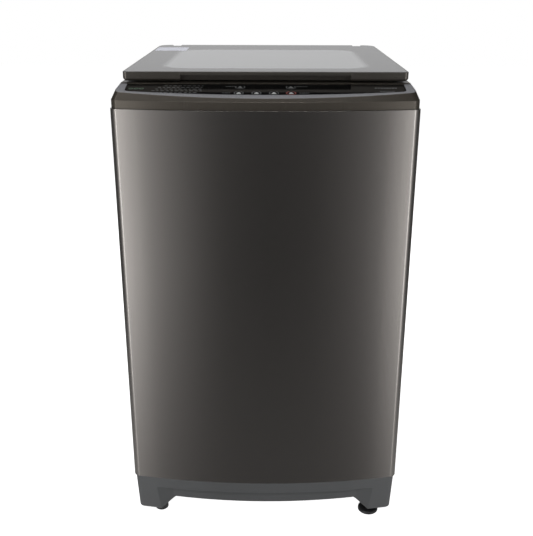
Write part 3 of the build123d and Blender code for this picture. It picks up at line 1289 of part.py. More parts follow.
FILTER_Z0 = 470.0
FILTER_H = 190.0
with BuildPart() as lint_filter:
    with BuildSketch(Plane.XY.offset(FILTER_Z0)):
        with Locations((236.0, 0)):
            Rectangle(26.0, 104.0)
        Circle(BASKET_R - BASKET_SHEET - 0.2, mode=Mode.INTERSECT)
    extrude(amount=FILTER_H)
    fillet(lint_filter.edges().filter_by(Axis.Z).sort_by(Axis.X)[:2], 10.0)
    with BuildSketch(Plane.XY.offset(FILTER_Z0 + 6.0)):
        with Locations((240.0, 0)):
            Rectangle(28.0, 84.0)
        Circle(BASKET_R - BASKET_SHEET - 4.0, mode=Mode.INTERSECT)
    extrude(amount=FILTER_H - 12.0, mode=Mode.SUBTRACT)
    with BuildSketch(Plane.YZ.offset(210.0)):
        with Locations((0, FILTER_Z0 + FILTER_H / 2)):
            with GridLocations(14.0, 20.0, 5, 8):
                RectangleRounded(9.0, 15.0, 2.0)
    extrude(amount=22.0, mode=Mode.SUBTRACT)

with BuildPart() as lint_filters:
    add(lint_filter.part)
    mirror(lint_filter.part, about=Plane.YZ)
save(lint_filters, "lint_filters")

# ---- pulsator -----------------------------------------------------------------------
with BuildPart() as pulsator:
    with BuildSketch(Plane.XZ):
        with BuildLine():
            Polyline(
                (0, PULSATOR_Z0 + 50.0), (0, PULSATOR_Z0 + 12.0), (30.0, PULSATOR_Z0 + 12.0),
                (60.0, PULSATOR_Z0 + 8.0), (PULSATOR_R - 6.0, PULSATOR_Z0 + 8.0),
                (PULSATOR_R - 4.0, PULSATOR_Z0), (PULSATOR_R, PULSATOR_Z0),
                (PULSATOR_R, PULSATOR_Z0 + 10.0),
            )
            Spline(
                (PULSATOR_R, PULSATOR_Z0 + 10.0), (120.0, PULSATOR_Z0 + 14.0),
                (55.0, PULSATOR_Z0 + 28.0), (0, PULSATOR_Z0 + 50.0),
                tangents=((-1, 0.3), (-1, 0)),
            )
        make_face()
    revolve(axis=Axis.Z)
    with BuildSketch(Plane.XZ.offset(-7.0)):
        with BuildLine():
            Polyline(
                (20.0, PULSATOR_Z0 + 20.0), (176.0, PULSATOR_Z0 + 9.0),
                (172.0, PULSATOR_Z0 + 22.0),
            )
            ThreePointArc(
                (172.0, PULSATOR_Z0 + 22.0), (110.0, PULSATOR_Z0 + 42.0),
                (20.0, PULSATOR_Z0 + 48.0),
            )
            Line((20.0, PULSATOR_Z0 + 48.0), (20.0, PULSATOR_Z0 + 20.0))
        make_face()
    fin = extrude(amount=14.0, mode=Mode.PRIVATE)
    for i in range(PULSATOR_FINS):
        add(fin.rotate(Axis.Z, 360.0 / PULSATOR_FINS * i))
    with Locations((0, 0, PULSATOR_Z0 + 4.0)):
        Cylinder(22.0, 10.0, align=(Align.CENTER, Align.CENTER, Align.MIN))
    with Locations((0, 0, PULSATOR_Z0)):
        Cylinder(WASH_SHAFT_R, 30.0, align=(Align.CENTER, Align.CENTER, Align.MIN),
                 mode=Mode.SUBTRACT)
save(pulsator, "pulsator")

with BuildPart() as pulsator_shaft:
    with Locations((0, 0, 125.0)):
        Cylinder(WASH_SHAFT_R, PULSATOR_Z0 + 30.0 - 125.0,
                 align=(Align.CENTER, Align.CENTER, Align.MIN))
    chamfer(pulsator_shaft.edges().sort_by(Axis.Z)[0], 1.0)
save(pulsator_shaft, "pulsator_shaft")
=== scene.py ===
"""Looks of the top load washing machine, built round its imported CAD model.

Metres, +Z up, the front looks along -Y, and the origin is on the floor under the middle.
"""
import json
from math import cos, pi, radians, sin

import bmesh
import bpy
from mathutils import Matrix, Vector


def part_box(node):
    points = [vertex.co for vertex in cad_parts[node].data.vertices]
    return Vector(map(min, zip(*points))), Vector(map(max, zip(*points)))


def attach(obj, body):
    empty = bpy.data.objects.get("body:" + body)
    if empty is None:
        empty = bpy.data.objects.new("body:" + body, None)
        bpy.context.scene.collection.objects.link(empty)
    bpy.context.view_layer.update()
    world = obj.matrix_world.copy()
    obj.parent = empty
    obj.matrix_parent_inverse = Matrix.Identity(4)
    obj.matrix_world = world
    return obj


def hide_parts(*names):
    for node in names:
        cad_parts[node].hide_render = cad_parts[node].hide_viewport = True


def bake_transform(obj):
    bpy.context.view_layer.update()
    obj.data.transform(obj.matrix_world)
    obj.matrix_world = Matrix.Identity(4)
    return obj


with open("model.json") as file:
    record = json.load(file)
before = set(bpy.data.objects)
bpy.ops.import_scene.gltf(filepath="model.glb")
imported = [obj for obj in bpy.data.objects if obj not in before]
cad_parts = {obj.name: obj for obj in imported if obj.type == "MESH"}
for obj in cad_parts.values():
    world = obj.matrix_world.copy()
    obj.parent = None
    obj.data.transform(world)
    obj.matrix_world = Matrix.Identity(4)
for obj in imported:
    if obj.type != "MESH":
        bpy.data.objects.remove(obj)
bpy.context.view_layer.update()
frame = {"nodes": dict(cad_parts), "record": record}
nodes = frame["nodes"]
scene = bpy.context.scene
scene.view_settings.view_transform = "Standard"

# ---- camera -------------------------------------------------------------------------
CAMERA_AT = Vector((0.0092, -1.7532, 1.1313))
CAMERA_PITCH = radians(19.848)      # below the horizon
CAMERA_YAW = radians(-0.245)
CAMERA_ROLL = radians(-0.125)
CAMERA_LENS = 49.96


def place_camera():
    """A camera at eye height in front of the machine, looking slightly down."""
    data = bpy.data.cameras.new("camera")
    data.sensor_width = 36.0
    data.lens = CAMERA_LENS
    data.clip_end = 60.0
    camera = bpy.data.objects.new("camera", data)
    scene.collection.objects.link(camera)
    ahead = Vector((
        sin(CAMERA_YAW) * cos(CAMERA_PITCH), cos(CAMERA_YAW) * cos(CAMERA_PITCH),
        -sin(CAMERA_PITCH),
    ))
    right = Vector((cos(CAMERA_YAW), -sin(CAMERA_YAW), 0.0))
    up = right.cross(ahead)
    side = right * cos(CAMERA_ROLL) - up * sin(CAMERA_ROLL)
    top = right * sin(CAMERA_ROLL) + up * cos(CAMERA_ROLL)
    turn = Matrix((side, top, -ahead)).transposed().to_4x4()
    camera.matrix_world = Matrix.Translation(CAMERA_AT) @ turn
    scene.camera = camera


place_camera()


# ---- node helpers -------------------------------------------------------------------
MIX_FACTOR, MIX_FIRST, MIX_SECOND = 0, 6, 7     # sockets of a Mix node that mixes colours
NOISE_LOW, NOISE_HIGH = 0.3, 0.7                # where nearly all values of a noise lie


class Shader:
    """A small wrapper that adds nodes to one material and links them."""

    def __init__(self, name):
        self.material = bpy.data.materials.new(name)
        self.material.use_nodes = True
        self.tree = self.material.node_tree
        self.bsdf = self.tree.nodes["Principled BSDF"]
        self.texture = self.add("ShaderNodeTexCoord")
        self.coords = self.texture.outputs["Object"]

    def add(self, kind, **settings):
        node = self.tree.nodes.new(kind)
        for key, value in settings.items():
            setattr(node, key, value)
        return node

    def link(self, source, target):
        self.tree.links.new(source, target)

    def value(self, socket, value):
        """Set a socket from a number or colour, or link it from another socket."""
        if isinstance(value, bpy.types.NodeSocket):
            self.link(value, socket)
        else:
            socket.default_value = value

    def math(self, operation, *values, clamp=False):
        node = self.add("ShaderNodeMath", operation=operation, use_clamp=clamp)
        for socket, value in zip(node.inputs, values):
            self.value(socket, value)
        return node.outputs[0]

    def scaled(self, scale):
        """Object coordinates stretched by scale on each axis."""
        node = self.add("ShaderNodeMapping")
        node.inputs["Scale"].default_value = scale
        self.link(self.coords, node.inputs["Vector"])
        return node.outputs["Vector"]

    def noise(self, scale, detail=3.0, stretch=None, roughness=0.5):
        """Noise over the object coordinates, with scale features to the metre."""
        node = self.add("ShaderNodeTexNoise")
        node.inputs["Scale"].default_value = scale
        node.inputs["Detail"].default_value = detail
        node.inputs["Roughness"].default_value = roughness
        coords = self.coords if stretch is None else self.scaled(stretch)
        self.link(coords, node.inputs["Vector"])
        return node.outputs["Fac"]

    def spread(self, factor, low, high):
        """Map a noise value to the range low to high."""
        node = self.add("ShaderNodeMapRange")
        node.inputs["From Min"].default_value = NOISE_LOW
        node.inputs["From Max"].default_value = NOISE_HIGH
        node.inputs["To Min"].default_value = low
        node.inputs["To Max"].default_value = high
        self.link(factor, node.inputs["Value"])
        return node.outputs["Result"]

    def mix(self, factor, first, second):
        node = self.add("ShaderNodeMix", data_type="RGBA")
        self.value(node.inputs[MIX_FACTOR], factor)
        self.value(node.inputs[MIX_FIRST], first)
        self.value(node.inputs[MIX_SECOND], second)
        return node.outputs[2]

    def bump(self, height, strength, distance, edge=0.0):
        """Bump from height, on top of edges rounded by edge metres."""
        node = self.add("ShaderNodeBump")
        node.inputs["Strength"].default_value = strength
        node.inputs["Distance"].default_value = distance
        self.link(height, node.inputs["Height"])
        if edge:
            bevel = self.add("ShaderNodeBevel", samples=4)
            bevel.inputs["Radius"].default_value = edge
            self.link(bevel.outputs["Normal"], node.inputs["Normal"])
        self.link(node.outputs["Normal"], self.bsdf.inputs["Normal"])

    def axis(self, name):
        """One of the object coordinates, X, Y or Z, as a number."""
        if not hasattr(self, "split"):
            self.split = self.add("ShaderNodeSeparateXYZ")
            self.link(self.coords, self.split.inputs["Vector"])
        return self.split.outputs[name]


def shaded(color, factor=1.0):
    """An opaque colour, made darker or lighter by factor."""
    return (color[0] * factor, color[1] * factor, color[2] * factor, 1.0)


# ---- materials ----------------------------------------------------------------------
def moulded(name, color, roughness=0.5, grain=900.0, depth=0.00006, edge=0.0008,
            variation=0.06, metallic=0.0, coat=0.0):
    """Moulded plastic: a fine leather-like grain, slight colour and gloss variation."""
    s = Shader(name)
    broad = s.noise(7.0, detail=4.0)
    fine = s.noise(grain, detail=2.0)
    s.link(s.mix(s.spread(broad, 0.0, 1.0),
                 shaded(color, 1 - variation), shaded(color, 1 + variation)),
           s.bsdf.inputs["Base Color"])
    s.link(s.spread(fine, roughness - 0.05, roughness + 0.05), s.bsdf.inputs["Roughness"])
    s.bsdf.inputs["Metallic"].default_value = metallic
    s.bsdf.inputs["Coat Weight"].default_value = coat
    s.bsdf.inputs["Coat Roughness"].default_value = 0.15
    s.bump(fine, 0.5, depth, edge)
    return s.material


def rubber(name, color=(0.022, 0.022, 0.023)):
    """Matt rubber with fine pores and a dusty bloom."""
    s = Shader(name)
    bloom = s.noise(40.0, detail=6.0)
    pores = s.noise(1400.0, detail=2.0)
    s.link(s.mix(s.spread(bloom, 0.0, 1.0), shaded(color, 0.8), shaded(color, 1.5)),
           s.bsdf.inputs["Base Color"])
    s.link(s.spread(bloom, 0.62, 0.85), s.bsdf.inputs["Roughness"])
    s.bump(pores, 0.6, 0.0001, 0.0008)
    return s.material


def brushed(name, color, stretch, roughness=0.3, edge=0.0006, anisotropic=0.5):
    """Bright metal with fine lines along one direction."""
    s = Shader(name)
    lines = s.noise(1.0, detail=5.0, stretch=stretch, roughness=0.65)
    patches = s.noise(5.0, detail=3.0)
    s.link(s.mix(s.spread(lines, 0.0, 1.0), shaded(color, 0.86), shaded(color, 1.06)),
           s.bsdf.inputs["Base Color"])
    s.link(s.math("ADD", s.spread(lines, roughness - 0.06, roughness + 0.06),
                  s.spread(patches, -0.03, 0.05)),
           s.bsdf.inputs["Roughness"])
    s.bsdf.inputs["Metallic"].default_value = 1.0
    s.bsdf.inputs["Anisotropic"].default_value = anisotropic
    s.bump(lines, 0.15, 0.00005, edge)
    return s.material


def cast_metal(name, color):
    """Cast aluminium: a pebbled skin."""
    s = Shader(name)
    pebbles = s.noise(260.0, detail=4.0)
    stains = s.noise(18.0, detail=5.0)
    s.link(s.mix(s.spread(stains, 0.0, 1.0), shaded(color, 0.75), shaded(color, 1.08)),
           s.bsdf.inputs["Base Color"])
    s.link(s.spread(pebbles, 0.38, 0.55), s.bsdf.inputs["Roughness"])
    s.bsdf.inputs["Metallic"].default_value = 1.0
    s.bump(pebbles, 0.5, 0.0002, 0.0008)
    return s.material


def galvanised(name):
    """Zinc coated sheet with its pale spangles."""
    s = Shader(name)
    cells = s.add("ShaderNodeTexVoronoi")
    cells.inputs["Scale"].default_value = 70.0
    s.link(s.coords, cells.inputs["Vector"])
    tone = s.add("ShaderNodeSeparateColor")
    s.link(cells.outputs["Color"], tone.inputs[0])
    s.link(s.mix(tone.outputs[0], (0.54, 0.55, 0.57, 1), (0.60, 0.61, 0.63, 1)),
           s.bsdf.inputs["Base Color"])
    s.link(s.math("MULTIPLY_ADD", tone.outputs[1], 0.08, 0.36), s.bsdf.inputs["Roughness"])
    s.bsdf.inputs["Metallic"].default_value = 0.95
    s.bump(s.noise(420.0), 0.15, 0.00005, 0.0006)
    return s.material


CABINET_COLOR = (0.300, 0.281, 0.266)


def cabinet_paint():
    """Satin titanium coating on steel: fine metallic flake."""
    s = Shader("titanium_steel")
    flake = s.noise(2600.0, detail=1.0)
    cloud = s.noise(3.0, detail=2.0)
    tone = s.mix(s.spread(flake, 0.0, 1.0),
                 shaded(CABINET_COLOR, 0.93), shaded(CABINET_COLOR, 1.08))
    s.link(s.mix(s.spread(cloud, 0.0, 0.10), tone, shaded(CABINET_COLOR, 1.18)),
           s.bsdf.inputs["Base Color"])
    s.link(s.spread(flake, 0.15, 0.19), s.bsdf.inputs["Roughness"])
    s.bsdf.inputs["Metallic"].default_value = 0.96
    s.bump(flake, 0.08, 0.00002, 0.0014)
    return s.material


PANEL_SLOPE = radians(12.0)
FRAME_COLOR = (0.080, 0.070, 0.058)
LID_FRAME_COLOR = (0.122, 0.111, 0.098)
# painted reflection: this pale colour on the up-facing surround of the control panel stands in
# for the bright sky it mirrors
SURROUND_SKY_SHEEN = (0.205, 0.206, 0.219)
SURROUND_REAR_Y = -0.2465           # the painted sky reflection on the surround of the control panel ends here
SLOPE_NEAR, SLOPE_SAME = 0.990, 0.998   # cosines to the panel's slope: no part of it, all of it


def frame_plastic(name, color):
    """Titanium coloured plastic of the top frame and the lid frame.

    The flat surround of the control panel, which is told by its slope, is painted paler and less
    metallic: a painted reflection of the bright sky it faces.
    """
    s = Shader(name)
    flake = s.noise(2200.0, detail=1.0)
    cloud = s.noise(6.0, detail=3.0)
    slope = s.add("ShaderNodeVectorMath", operation="DOT_PRODUCT")
    s.link(s.texture.outputs["Normal"], slope.inputs[0])
    slope.inputs[1].default_value = (0.0, -sin(PANEL_SLOPE), cos(PANEL_SLOPE))
    sloped = s.add("ShaderNodeMapRange")
    sloped.inputs["From Min"].default_value = SLOPE_NEAR
    sloped.inputs["From Max"].default_value = SLOPE_SAME
    s.link(slope.outputs["Value"], sloped.inputs["Value"])
    # painted reflection: faces lying along the panel's slope, in front of SURROUND_REAR_Y, are
    # painted pale as if mirroring the sky
    sky_sheen = s.math("MULTIPLY", sloped.outputs["Result"],
                  s.math("LESS_THAN", s.axis("Y"), SURROUND_REAR_Y))
    brown = s.mix(s.spread(cloud, 0.0, 1.0), shaded(color, 0.93), shaded(color, 1.07))
    s.link(s.mix(sky_sheen, brown, shaded(SURROUND_SKY_SHEEN)), s.bsdf.inputs["Base Color"])
    s.link(s.spread(flake, 0.24, 0.30), s.bsdf.inputs["Roughness"])
    s.link(s.math("MULTIPLY_ADD", sky_sheen, -0.5, 0.6), s.bsdf.inputs["Metallic"])
    s.bump(flake, 0.08, 0.00002, 0.0012)
    return s.material


def black_glass():
    """Control panel: black printed glass with faint dust."""
    s = Shader("panel_glass")
    dust = s.noise(60.0, detail=6.0)
    s.link(s.mix(s.spread(dust, 0.0, 1.0),
                 (0.0020, 0.0021, 0.0022, 1), (0.0036, 0.0036, 0.0036, 1)),
           s.bsdf.inputs["Base Color"])
    s.link(s.spread(dust, 0.05, 0.10), s.bsdf.inputs["Roughness"])
    s.bump(s.noise(300.0), 0.02, 0.00001, 0.0004)
    return s.material


def rounded_box_mask(s, center, half, corner, soft):
    """1 inside a rounded rectangle in X and Y, 0 outside, soft metres wide at its edge."""
    def beyond(axis, middle, straight):
        off = s.math("ABSOLUTE", s.math("SUBTRACT", s.axis(axis), middle))
        return s.math("MAXIMUM", s.math("SUBTRACT", off, straight), 0.0)

    dx = beyond("X", center[0], half[0] - corner)
    dy = beyond("Y", center[1], half[1] - corner)
    far = s.math("SQRT", s.math("ADD", s.math("MULTIPLY", dx, dx), s.math("MULTIPLY", dy, dy)))
    node = s.add("ShaderNodeMapRange", interpolation_type="SMOOTHSTEP")
    node.inputs["From Min"].default_value = corner + soft / 2
    node.inputs["From Max"].default_value = corner - soft / 2
    s.link(far, node.inputs["Value"])
    return node.outputs["Result"]


WINDOW_CENTER = (0.0, 0.004)
WINDOW_HALF = (0.212, 0.189)
WINDOW_CORNER = 0.050
WINDOW_SOFT = 0.022                 # the print fades over this width round the window
BORDER_COLOR = (0.165, 0.164, 0.168)
GLASS_TINT = (0.540, 0.544, 0.552)


def lid_glass():
    """Tempered lid glass: metallic grey print round a lighter, frosted window."""
    s = Shader("lid_glass")
    window = rounded_box_mask(s, WINDOW_CENTER, WINDOW_HALF, WINDOW_CORNER, WINDOW_SOFT)
    flake = s.noise(1800.0, detail=1.0)
    border = s.mix(s.spread(flake, 0.0, 1.0),
                   shaded(BORDER_COLOR, 0.9), shaded(BORDER_COLOR, 1.1))
    s.link(s.mix(window, border, shaded(GLASS_TINT)), s.bsdf.inputs["Base Color"])
    s.link(s.math("MULTIPLY", window, 0.20), s.bsdf.inputs["Transmission Weight"])
    s.link(s.math("ADD", s.spread(flake, 0.16, 0.20), s.math("MULTIPLY", window, 0.05)),
           s.bsdf.inputs["Roughness"])
    s.bsdf.inputs["IOR"].default_value = 1.5
    s.bump(flake, 0.05, 0.00002)
    return s.material


def circuit_board():
    """Green solder mask with copper tracks."""
    s = Shader("board")
    tracks = s.add("ShaderNodeTexBrick")
    tracks.inputs["Scale"].default_value = 90.0
    tracks.inputs["Mortar Size"].default_value = 0.03
    s.link(s.coords, tracks.inputs["Vector"])
    s.link(s.mix(tracks.outputs["Fac"], (0.008, 0.060, 0.022, 1), (0.02, 0.14, 0.05, 1)),
           s.bsdf.inputs["Base Color"])
    s.link(s.spread(s.noise(200.0), 0.3, 0.45), s.bsdf.inputs["Roughness"])
    s.bump(tracks.outputs["Fac"], 0.3, 0.0001, 0.0003)
    return s.material


MATERIALS = {
    "titanium_steel": cabinet_paint(),
    "titanium_plastic": frame_plastic("titanium_plastic", FRAME_COLOR),
    "base_plastic": moulded("base_plastic", (0.068, 0.070, 0.072), 0.36, grain=1100.0,
                            edge=0.0022),
    "galvanised_sheet": galvanised("galvanised_sheet"),
    "screw_steel": brushed("screw_steel", (0.62, 0.62, 0.63), (900, 900, 60), 0.28),
    "foot_rubber": rubber("foot_rubber"),
    "foot_plastic": moulded("foot_plastic", (0.018, 0.018, 0.019), 0.45),
    "panel_glass": black_glass(),
    "lid_glass": lid_glass(),
    "grey_plastic": moulded("grey_plastic", (0.30, 0.31, 0.32), 0.45),
    "dark_plastic": moulded("dark_plastic", (0.020, 0.020, 0.022), 0.5),
    "board": circuit_board(),
    "valve_plastic": moulded("valve_plastic", (0.72, 0.72, 0.69), 0.4),
    "hose_plastic": moulded("hose_plastic", (0.30, 0.31, 0.33), 0.5, grain=500.0),
    "tub_plastic": moulded("tub_plastic", (0.66, 0.66, 0.64), 0.42),
    "stainless": brushed("stainless", (0.66, 0.66, 0.67), (6, 6, 900), 0.26),
    "rod_steel": brushed("rod_steel", (0.48, 0.48, 0.49), (700, 700, 20), 0.35),
    "cast_aluminium": cast_metal("cast_aluminium", (0.56, 0.57, 0.58)),
    "motor_steel": moulded("motor_steel", (0.03, 0.032, 0.035), 0.4, metallic=0.6),
    "pulsator_plastic": moulded("pulsator_plastic", (0.50, 0.52, 0.55), 0.3, coat=0.3),
    "filter_plastic": moulded("filter_plastic", (0.58, 0.61, 0.66), 0.4),
}
for part in frame["record"]["subparts"]:
    node = nodes[part["node"]]
    node.data.materials.clear()
    node.data.materials.append(MATERIALS[part["material_slot"]])
LID_PLASTIC = frame_plastic("lid_plastic", LID_FRAME_COLOR)
for name in ("lid_frame", "lid_front_rail"):
    nodes[name].data.materials[0] = LID_PLASTIC


# ---- mesh helpers -------------------------------------------------------------------
def mesh_object(name, mesh, material):
    """Make an object from a bmesh, which is used up, and give it its finish."""
    data = bpy.data.meshes.new(name)
    mesh.to_mesh(data)
    mesh.free()
    data.materials.append(material)
    obj = bpy.data.objects.new(name, data)
    scene.collection.objects.link(obj)
    return obj


def piece(name, mesh, material, body):
    """Make an object from a bmesh and let it ride on a body."""
    obj = mesh_object(name, mesh, material)
    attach(obj, body)


def slab(mesh, outline, matrix, z0, z1):
    """Add a closed slab with the given outline, a list of (x, y), between z0 and z1."""
    low = [mesh.verts.new(matrix @ Vector((x, y, z0))) for x, y in outline]
    high = [mesh.verts.new(matrix @ Vector((x, y, z1))) for x, y in outline]
    mesh.faces.new(list(reversed(low)))
    mesh.faces.new(high)
    count = len(outline)
    for i in range(count):
        j = (i + 1) % count
        mesh.faces.new((low[i], low[j], high[j], high[i]))


def rectangle(cx, cy, width, height):
    """The outline of a rectangle round a centre."""
    return [(cx - width / 2, cy - height / 2), (cx + width / 2, cy - height / 2),
            (cx + width / 2, cy + height / 2), (cx - width / 2, cy + height / 2)]


def rounded_rectangle(cx, cy, width, height, radius, steps=6):
    """The outline of a rectangle with round corners, each of them in some steps."""
    points = []
    for corner, (sx, sy) in enumerate(((1, 1), (-1, 1), (-1, -1), (1, -1))):
        for i in range(steps + 1):
            angle = pi / 2 * (corner + i / steps)
            points.append((
                cx + sx * (width / 2 - radius) + radius * cos(angle),
                cy + sy * (height / 2 - radius) + radius * sin(angle),
            ))
    return points


def ring(mesh, cx, cy, outer, inner, matrix, z0, z1, steps=40):
    """Add a flat ring between two radii, and between z0 and z1."""
    loops = []
    for radius, z in ((inner, z0), (outer, z0), (outer, z1), (inner, z1)):
        loops.append([
            mesh.verts.new(matrix @ Vector((
                cx + radius * cos(2 * pi * i / steps), cy + radius * sin(2 * pi * i / steps), z)))
            for i in range(steps)
        ])
    for a in range(4):
        b = (a + 1) % 4
        for i in range(steps):
            j = (i + 1) % steps
            mesh.faces.new((loops[a][i], loops[a][j], loops[b][j], loops[b][i]))
    bmesh.ops.recalc_face_normals(mesh, faces=mesh.faces)


# ---- suspension springs -------------------------------------------------------------
SPRING_WIRE = 0.0016                # radius of the wire
SPRING_TURNS = 8
WIRE_STEPS = 10                     # corners round the wire
TURN_STEPS = 28                     # points along each turn


def coil_spring(name, node):
    """A helical spring as large as its CAD node, from the cabinet's rod up to a moving body."""
    low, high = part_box(node)
    center = Vector(((low[0] + high[0]) / 2, (low[1] + high[1]) / 2, 0.0))
    upward = Vector((0.0, 0.0, 1.0))
    radius = (high[0] - low[0]) / 2 - SPRING_WIRE
    z0, rise = low[2] + SPRING_WIRE, high[2] - low[2] - 2 * SPRING_WIRE
    count = SPRING_TURNS * TURN_STEPS
    mesh = bmesh.new()
    loops = []
    for i in range(count + 1):
        turn = 2 * pi * SPRING_TURNS * i / count
        outward = Vector((cos(turn), sin(turn), 0.0))
        middle = center + radius * outward + (z0 + rise * i / count) * upward
        loop = []
        for k in range(WIRE_STEPS):
            angle = 2 * pi * k / WIRE_STEPS
            around = cos(angle) * outward + sin(angle) * upward
            loop.append(mesh.verts.new(middle + SPRING_WIRE * around))
        loops.append(loop)
    for first, second in zip(loops, loops[1:]):
        for k in range(WIRE_STEPS):
            j = (k + 1) % WIRE_STEPS
            mesh.faces.new((first[k], first[j], second[j], second[k]))
    mesh.faces.new(list(reversed(loops[0])))
    mesh.faces.new(loops[-1])
    bmesh.ops.recalc_face_normals(mesh, faces=mesh.faces)
    for face in mesh.faces:
        face.smooth = len(face.verts) == 4      # all but the two ends of the wire
    spring = mesh_object(name, mesh, MATERIALS["rod_steel"])
    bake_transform(spring)
    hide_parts(node)


for corner in ("front_left", "front_right", "rear_left", "rear_right"):
    coil_spring("coil_spring_" + corner, "suspension_spring_" + corner)


# ---- control panel marks ------------------------------------------------------------
PANEL_EDGE = Vector((0.0, -0.328, 0.957))
PANEL_MATRIX = Matrix.Translation(PANEL_EDGE) @ Matrix.Rotation(PANEL_SLOPE, 4, "X")
GLASS_SINK = 0.0003                 # the glass lies this far below the slope of the top frame
PRINT = 0.00012                     # thickness of the printed marks
MARK_LOW, MARK_HIGH = -GLASS_SINK, -GLASS_SINK + PRINT


def print_ink(name, color):
    """Screen printed ink: a little uneven, slightly rough."""
    s = Shader(name)
    patch = s.noise(900.0, detail=3.0)
    s.link(s.mix(s.spread(patch, 0.0, 1.0), shaded(color, 0.75), shaded(color, 1.15)),
           s.bsdf.inputs["Base Color"])
    s.link(s.spread(patch, 0.35, 0.5), s.bsdf.inputs["Roughness"])
    s.bump(patch, 0.2, 0.00002)
    return s.material


INK = print_ink("ink_pale", (0.42, 0.43, 0.43))
INK_MID = print_ink("ink_mid", (0.085, 0.090, 0.090))
INK_DIM = print_ink("ink_dim", (0.034, 0.037, 0.036))
INK_GREEN = print_ink("ink_green", (0.040, 0.100, 0.050))
INK_RED = print_ink("ink_red", (0.26, 0.03, 0.02))

# Places on the panel are X across it and Y up its slope.
KEY_RING = 0.0088                   # radius of the dashed ring round a touch key
RING_DASH = (0.0013, 0.0028)        # thickness and length of its dashes
LOWER_KEYS = ((-0.051, 0.0288), (-0.017, 0.0288), (0.0165, 0.0288))
START_KEY = (0.0495, 0.0288)
UPPER_KEYS = ((-0.0495, 0.064), (0.0495, 0.064))
GLYPH_BARS = ((0.0092, -0.0032), (0.0070, 0.0), (0.0036, 0.0032))   # width, and height in the key
GLYPH_THICK = 0.0022

# Rows of dashes: where each row starts, ends and lies, then how its dashes are made
LABELS = (
    (-0.078, -0.058, 0.067), (0.061, 0.083, 0.068), (-0.083, -0.065, 0.029),
    (0.065, 0.084, 0.029), (0.221, 0.250, 0.0405),
)
LABEL_STYLE = {"thick": 0.0020, "lengths": (0.0042, 0.0062, 0.0030), "gap": 0.0011}
PROGRAM_ROWS = (
    (-0.198, -0.122, 0.071), (-0.210, -0.123, 0.061), (-0.214, -0.122, 0.051),
    (-0.220, -0.122, 0.041), (-0.212, -0.126, 0.031),
)
PROGRAM_STYLE = {"thick": 0.0022, "lengths": (0.0060, 0.0044, 0.0072), "gap": 0.0034}
TITLE_ROW = (0.213, 0.256, 0.060)
TITLE_STYLE = {"thick": 0.0028, "lengths": (0.0048, 0.0036), "gap": 0.0014}

CORNER_RINGS = 3
CORNER_FIRST = (-0.262, 0.054)
CORNER_PITCH = 0.0105
CORNER_OUTER, CORNER_INNER = 0.0042, 0.0029


def mark(mesh, outline):
    """Add one printed mark with the given outline to the panel's glass."""
    slab(mesh, outline, PANEL_MATRIX, MARK_LOW, MARK_HIGH)


def dashed_ring(mesh, center, count=14, missing=()):
    """Add short dashes round a circle, leaving some of them out."""
    for i in range(count):
        if i in missing:
            continue
        angle = 2 * pi * i / count
        mark(mesh, [
            (center[0] + x * cos(angle) - y * sin(angle),
             center[1] + x * sin(angle) + y * cos(angle))
            for x, y in rectangle(KEY_RING, 0.0, *RING_DASH)
        ])


def dashes(mesh, row, thick, lengths, gap):
    """Add a row of dashes with the given lengths in turn, the last one cut to the row's end."""
    x, right, height = row
    i = 0
    while x < right - lengths[0] / 2:
        length = min(lengths[i % len(lengths)], right - x)
        mark(mesh, rectangle(x + length / 2, height, length, thick))
        x += length + gap
        i += 1


def key_glyph(mesh, center):
    """Add the bars in the middle of a touch key."""
    x, y = center
    for width, rise in GLYPH_BARS:
        mark(mesh, rectangle(x, y + rise, width, GLYPH_THICK))


def panel_marks():
    """Generic marks on the panel glass: touch keys, label bars and a table of dashes."""
    glyphs = bmesh.new()
    for center in LOWER_KEYS + (START_KEY,):
        key_glyph(glyphs, center)
    piece("panel_key_glyphs", glyphs, INK, "cabinet")
    rings = bmesh.new()
    for center in LOWER_KEYS:
        dashed_ring(rings, center, missing=(3, 4))
    for center in UPPER_KEYS:
        dashed_ring(rings, center, missing=(2, 3, 4, 5))
        key_glyph(rings, center)
    piece("panel_touch_rings", rings, INK_MID, "cabinet")
    red = bmesh.new()
    dashed_ring(red, START_KEY, count=18, missing=(4, 5))
    piece("panel_start_ring", red, INK_RED, "cabinet")
    bars = bmesh.new()
    for row in LABELS:
        dashes(bars, row, **LABEL_STYLE)
    piece("panel_label_bars", bars, INK_DIM, "cabinet")
    table = bmesh.new()
    for row in PROGRAM_ROWS:
        dashes(table, row, **PROGRAM_STYLE)
    piece("panel_program_bars", table, INK_DIM, "cabinet")
    corner = bmesh.new()
    for i in range(CORNER_RINGS):
        ring(corner, CORNER_FIRST[0] + CORNER_PITCH * i, CORNER_FIRST[1],
             CORNER_OUTER, CORNER_INNER, PANEL_MATRIX, MARK_LOW, MARK_HIGH)
    piece("panel_corner_rings", corner, INK_GREEN, "cabinet")
    title = bmesh.new()
    dashes(title, TITLE_ROW, **TITLE_STYLE)
    piece("panel_title_bar", title, INK_MID, "cabinet")


panel_marks()

# ---- lid label ----------------------------------------------------------------------
LID_SLOPE = radians(2.0)
LID_MATRIX = Matrix.Translation((0.0, -0.239, 0.979)) @ Matrix.Rotation(LID_SLOPE, 4, "X")
LID_T = 0.018                       # from the lid's lower edge up to the top of its glass
STICKER = (-0.239, 0.449, 0.078, 0.082, 0.003)  # centre, width, depth and corner radius
STICKER_THICK = 0.00015


def lid_label():
    """A blank silver sticker at the rear left of the lid."""
    s = Shader("label_foil")
    patch = s.noise(120.0, detail=4.0)
    s.link(s.mix(s.spread(patch, 0.0, 1.0), (0.56, 0.57, 0.64, 1), (0.66, 0.67, 0.74, 1)),
           s.bsdf.inputs["Base Color"])
    s.link(s.spread(patch, 0.35, 0.5), s.bsdf.inputs["Roughness"])
    s.bump(patch, 0.1, 0.00005)
    sheet = bmesh.new()
    slab(sheet, rounded_rectangle(*STICKER), LID_MATRIX, LID_T, LID_T + STICKER_THICK)
    piece("lid_label", sheet, s.material, "lid")


lid_label()


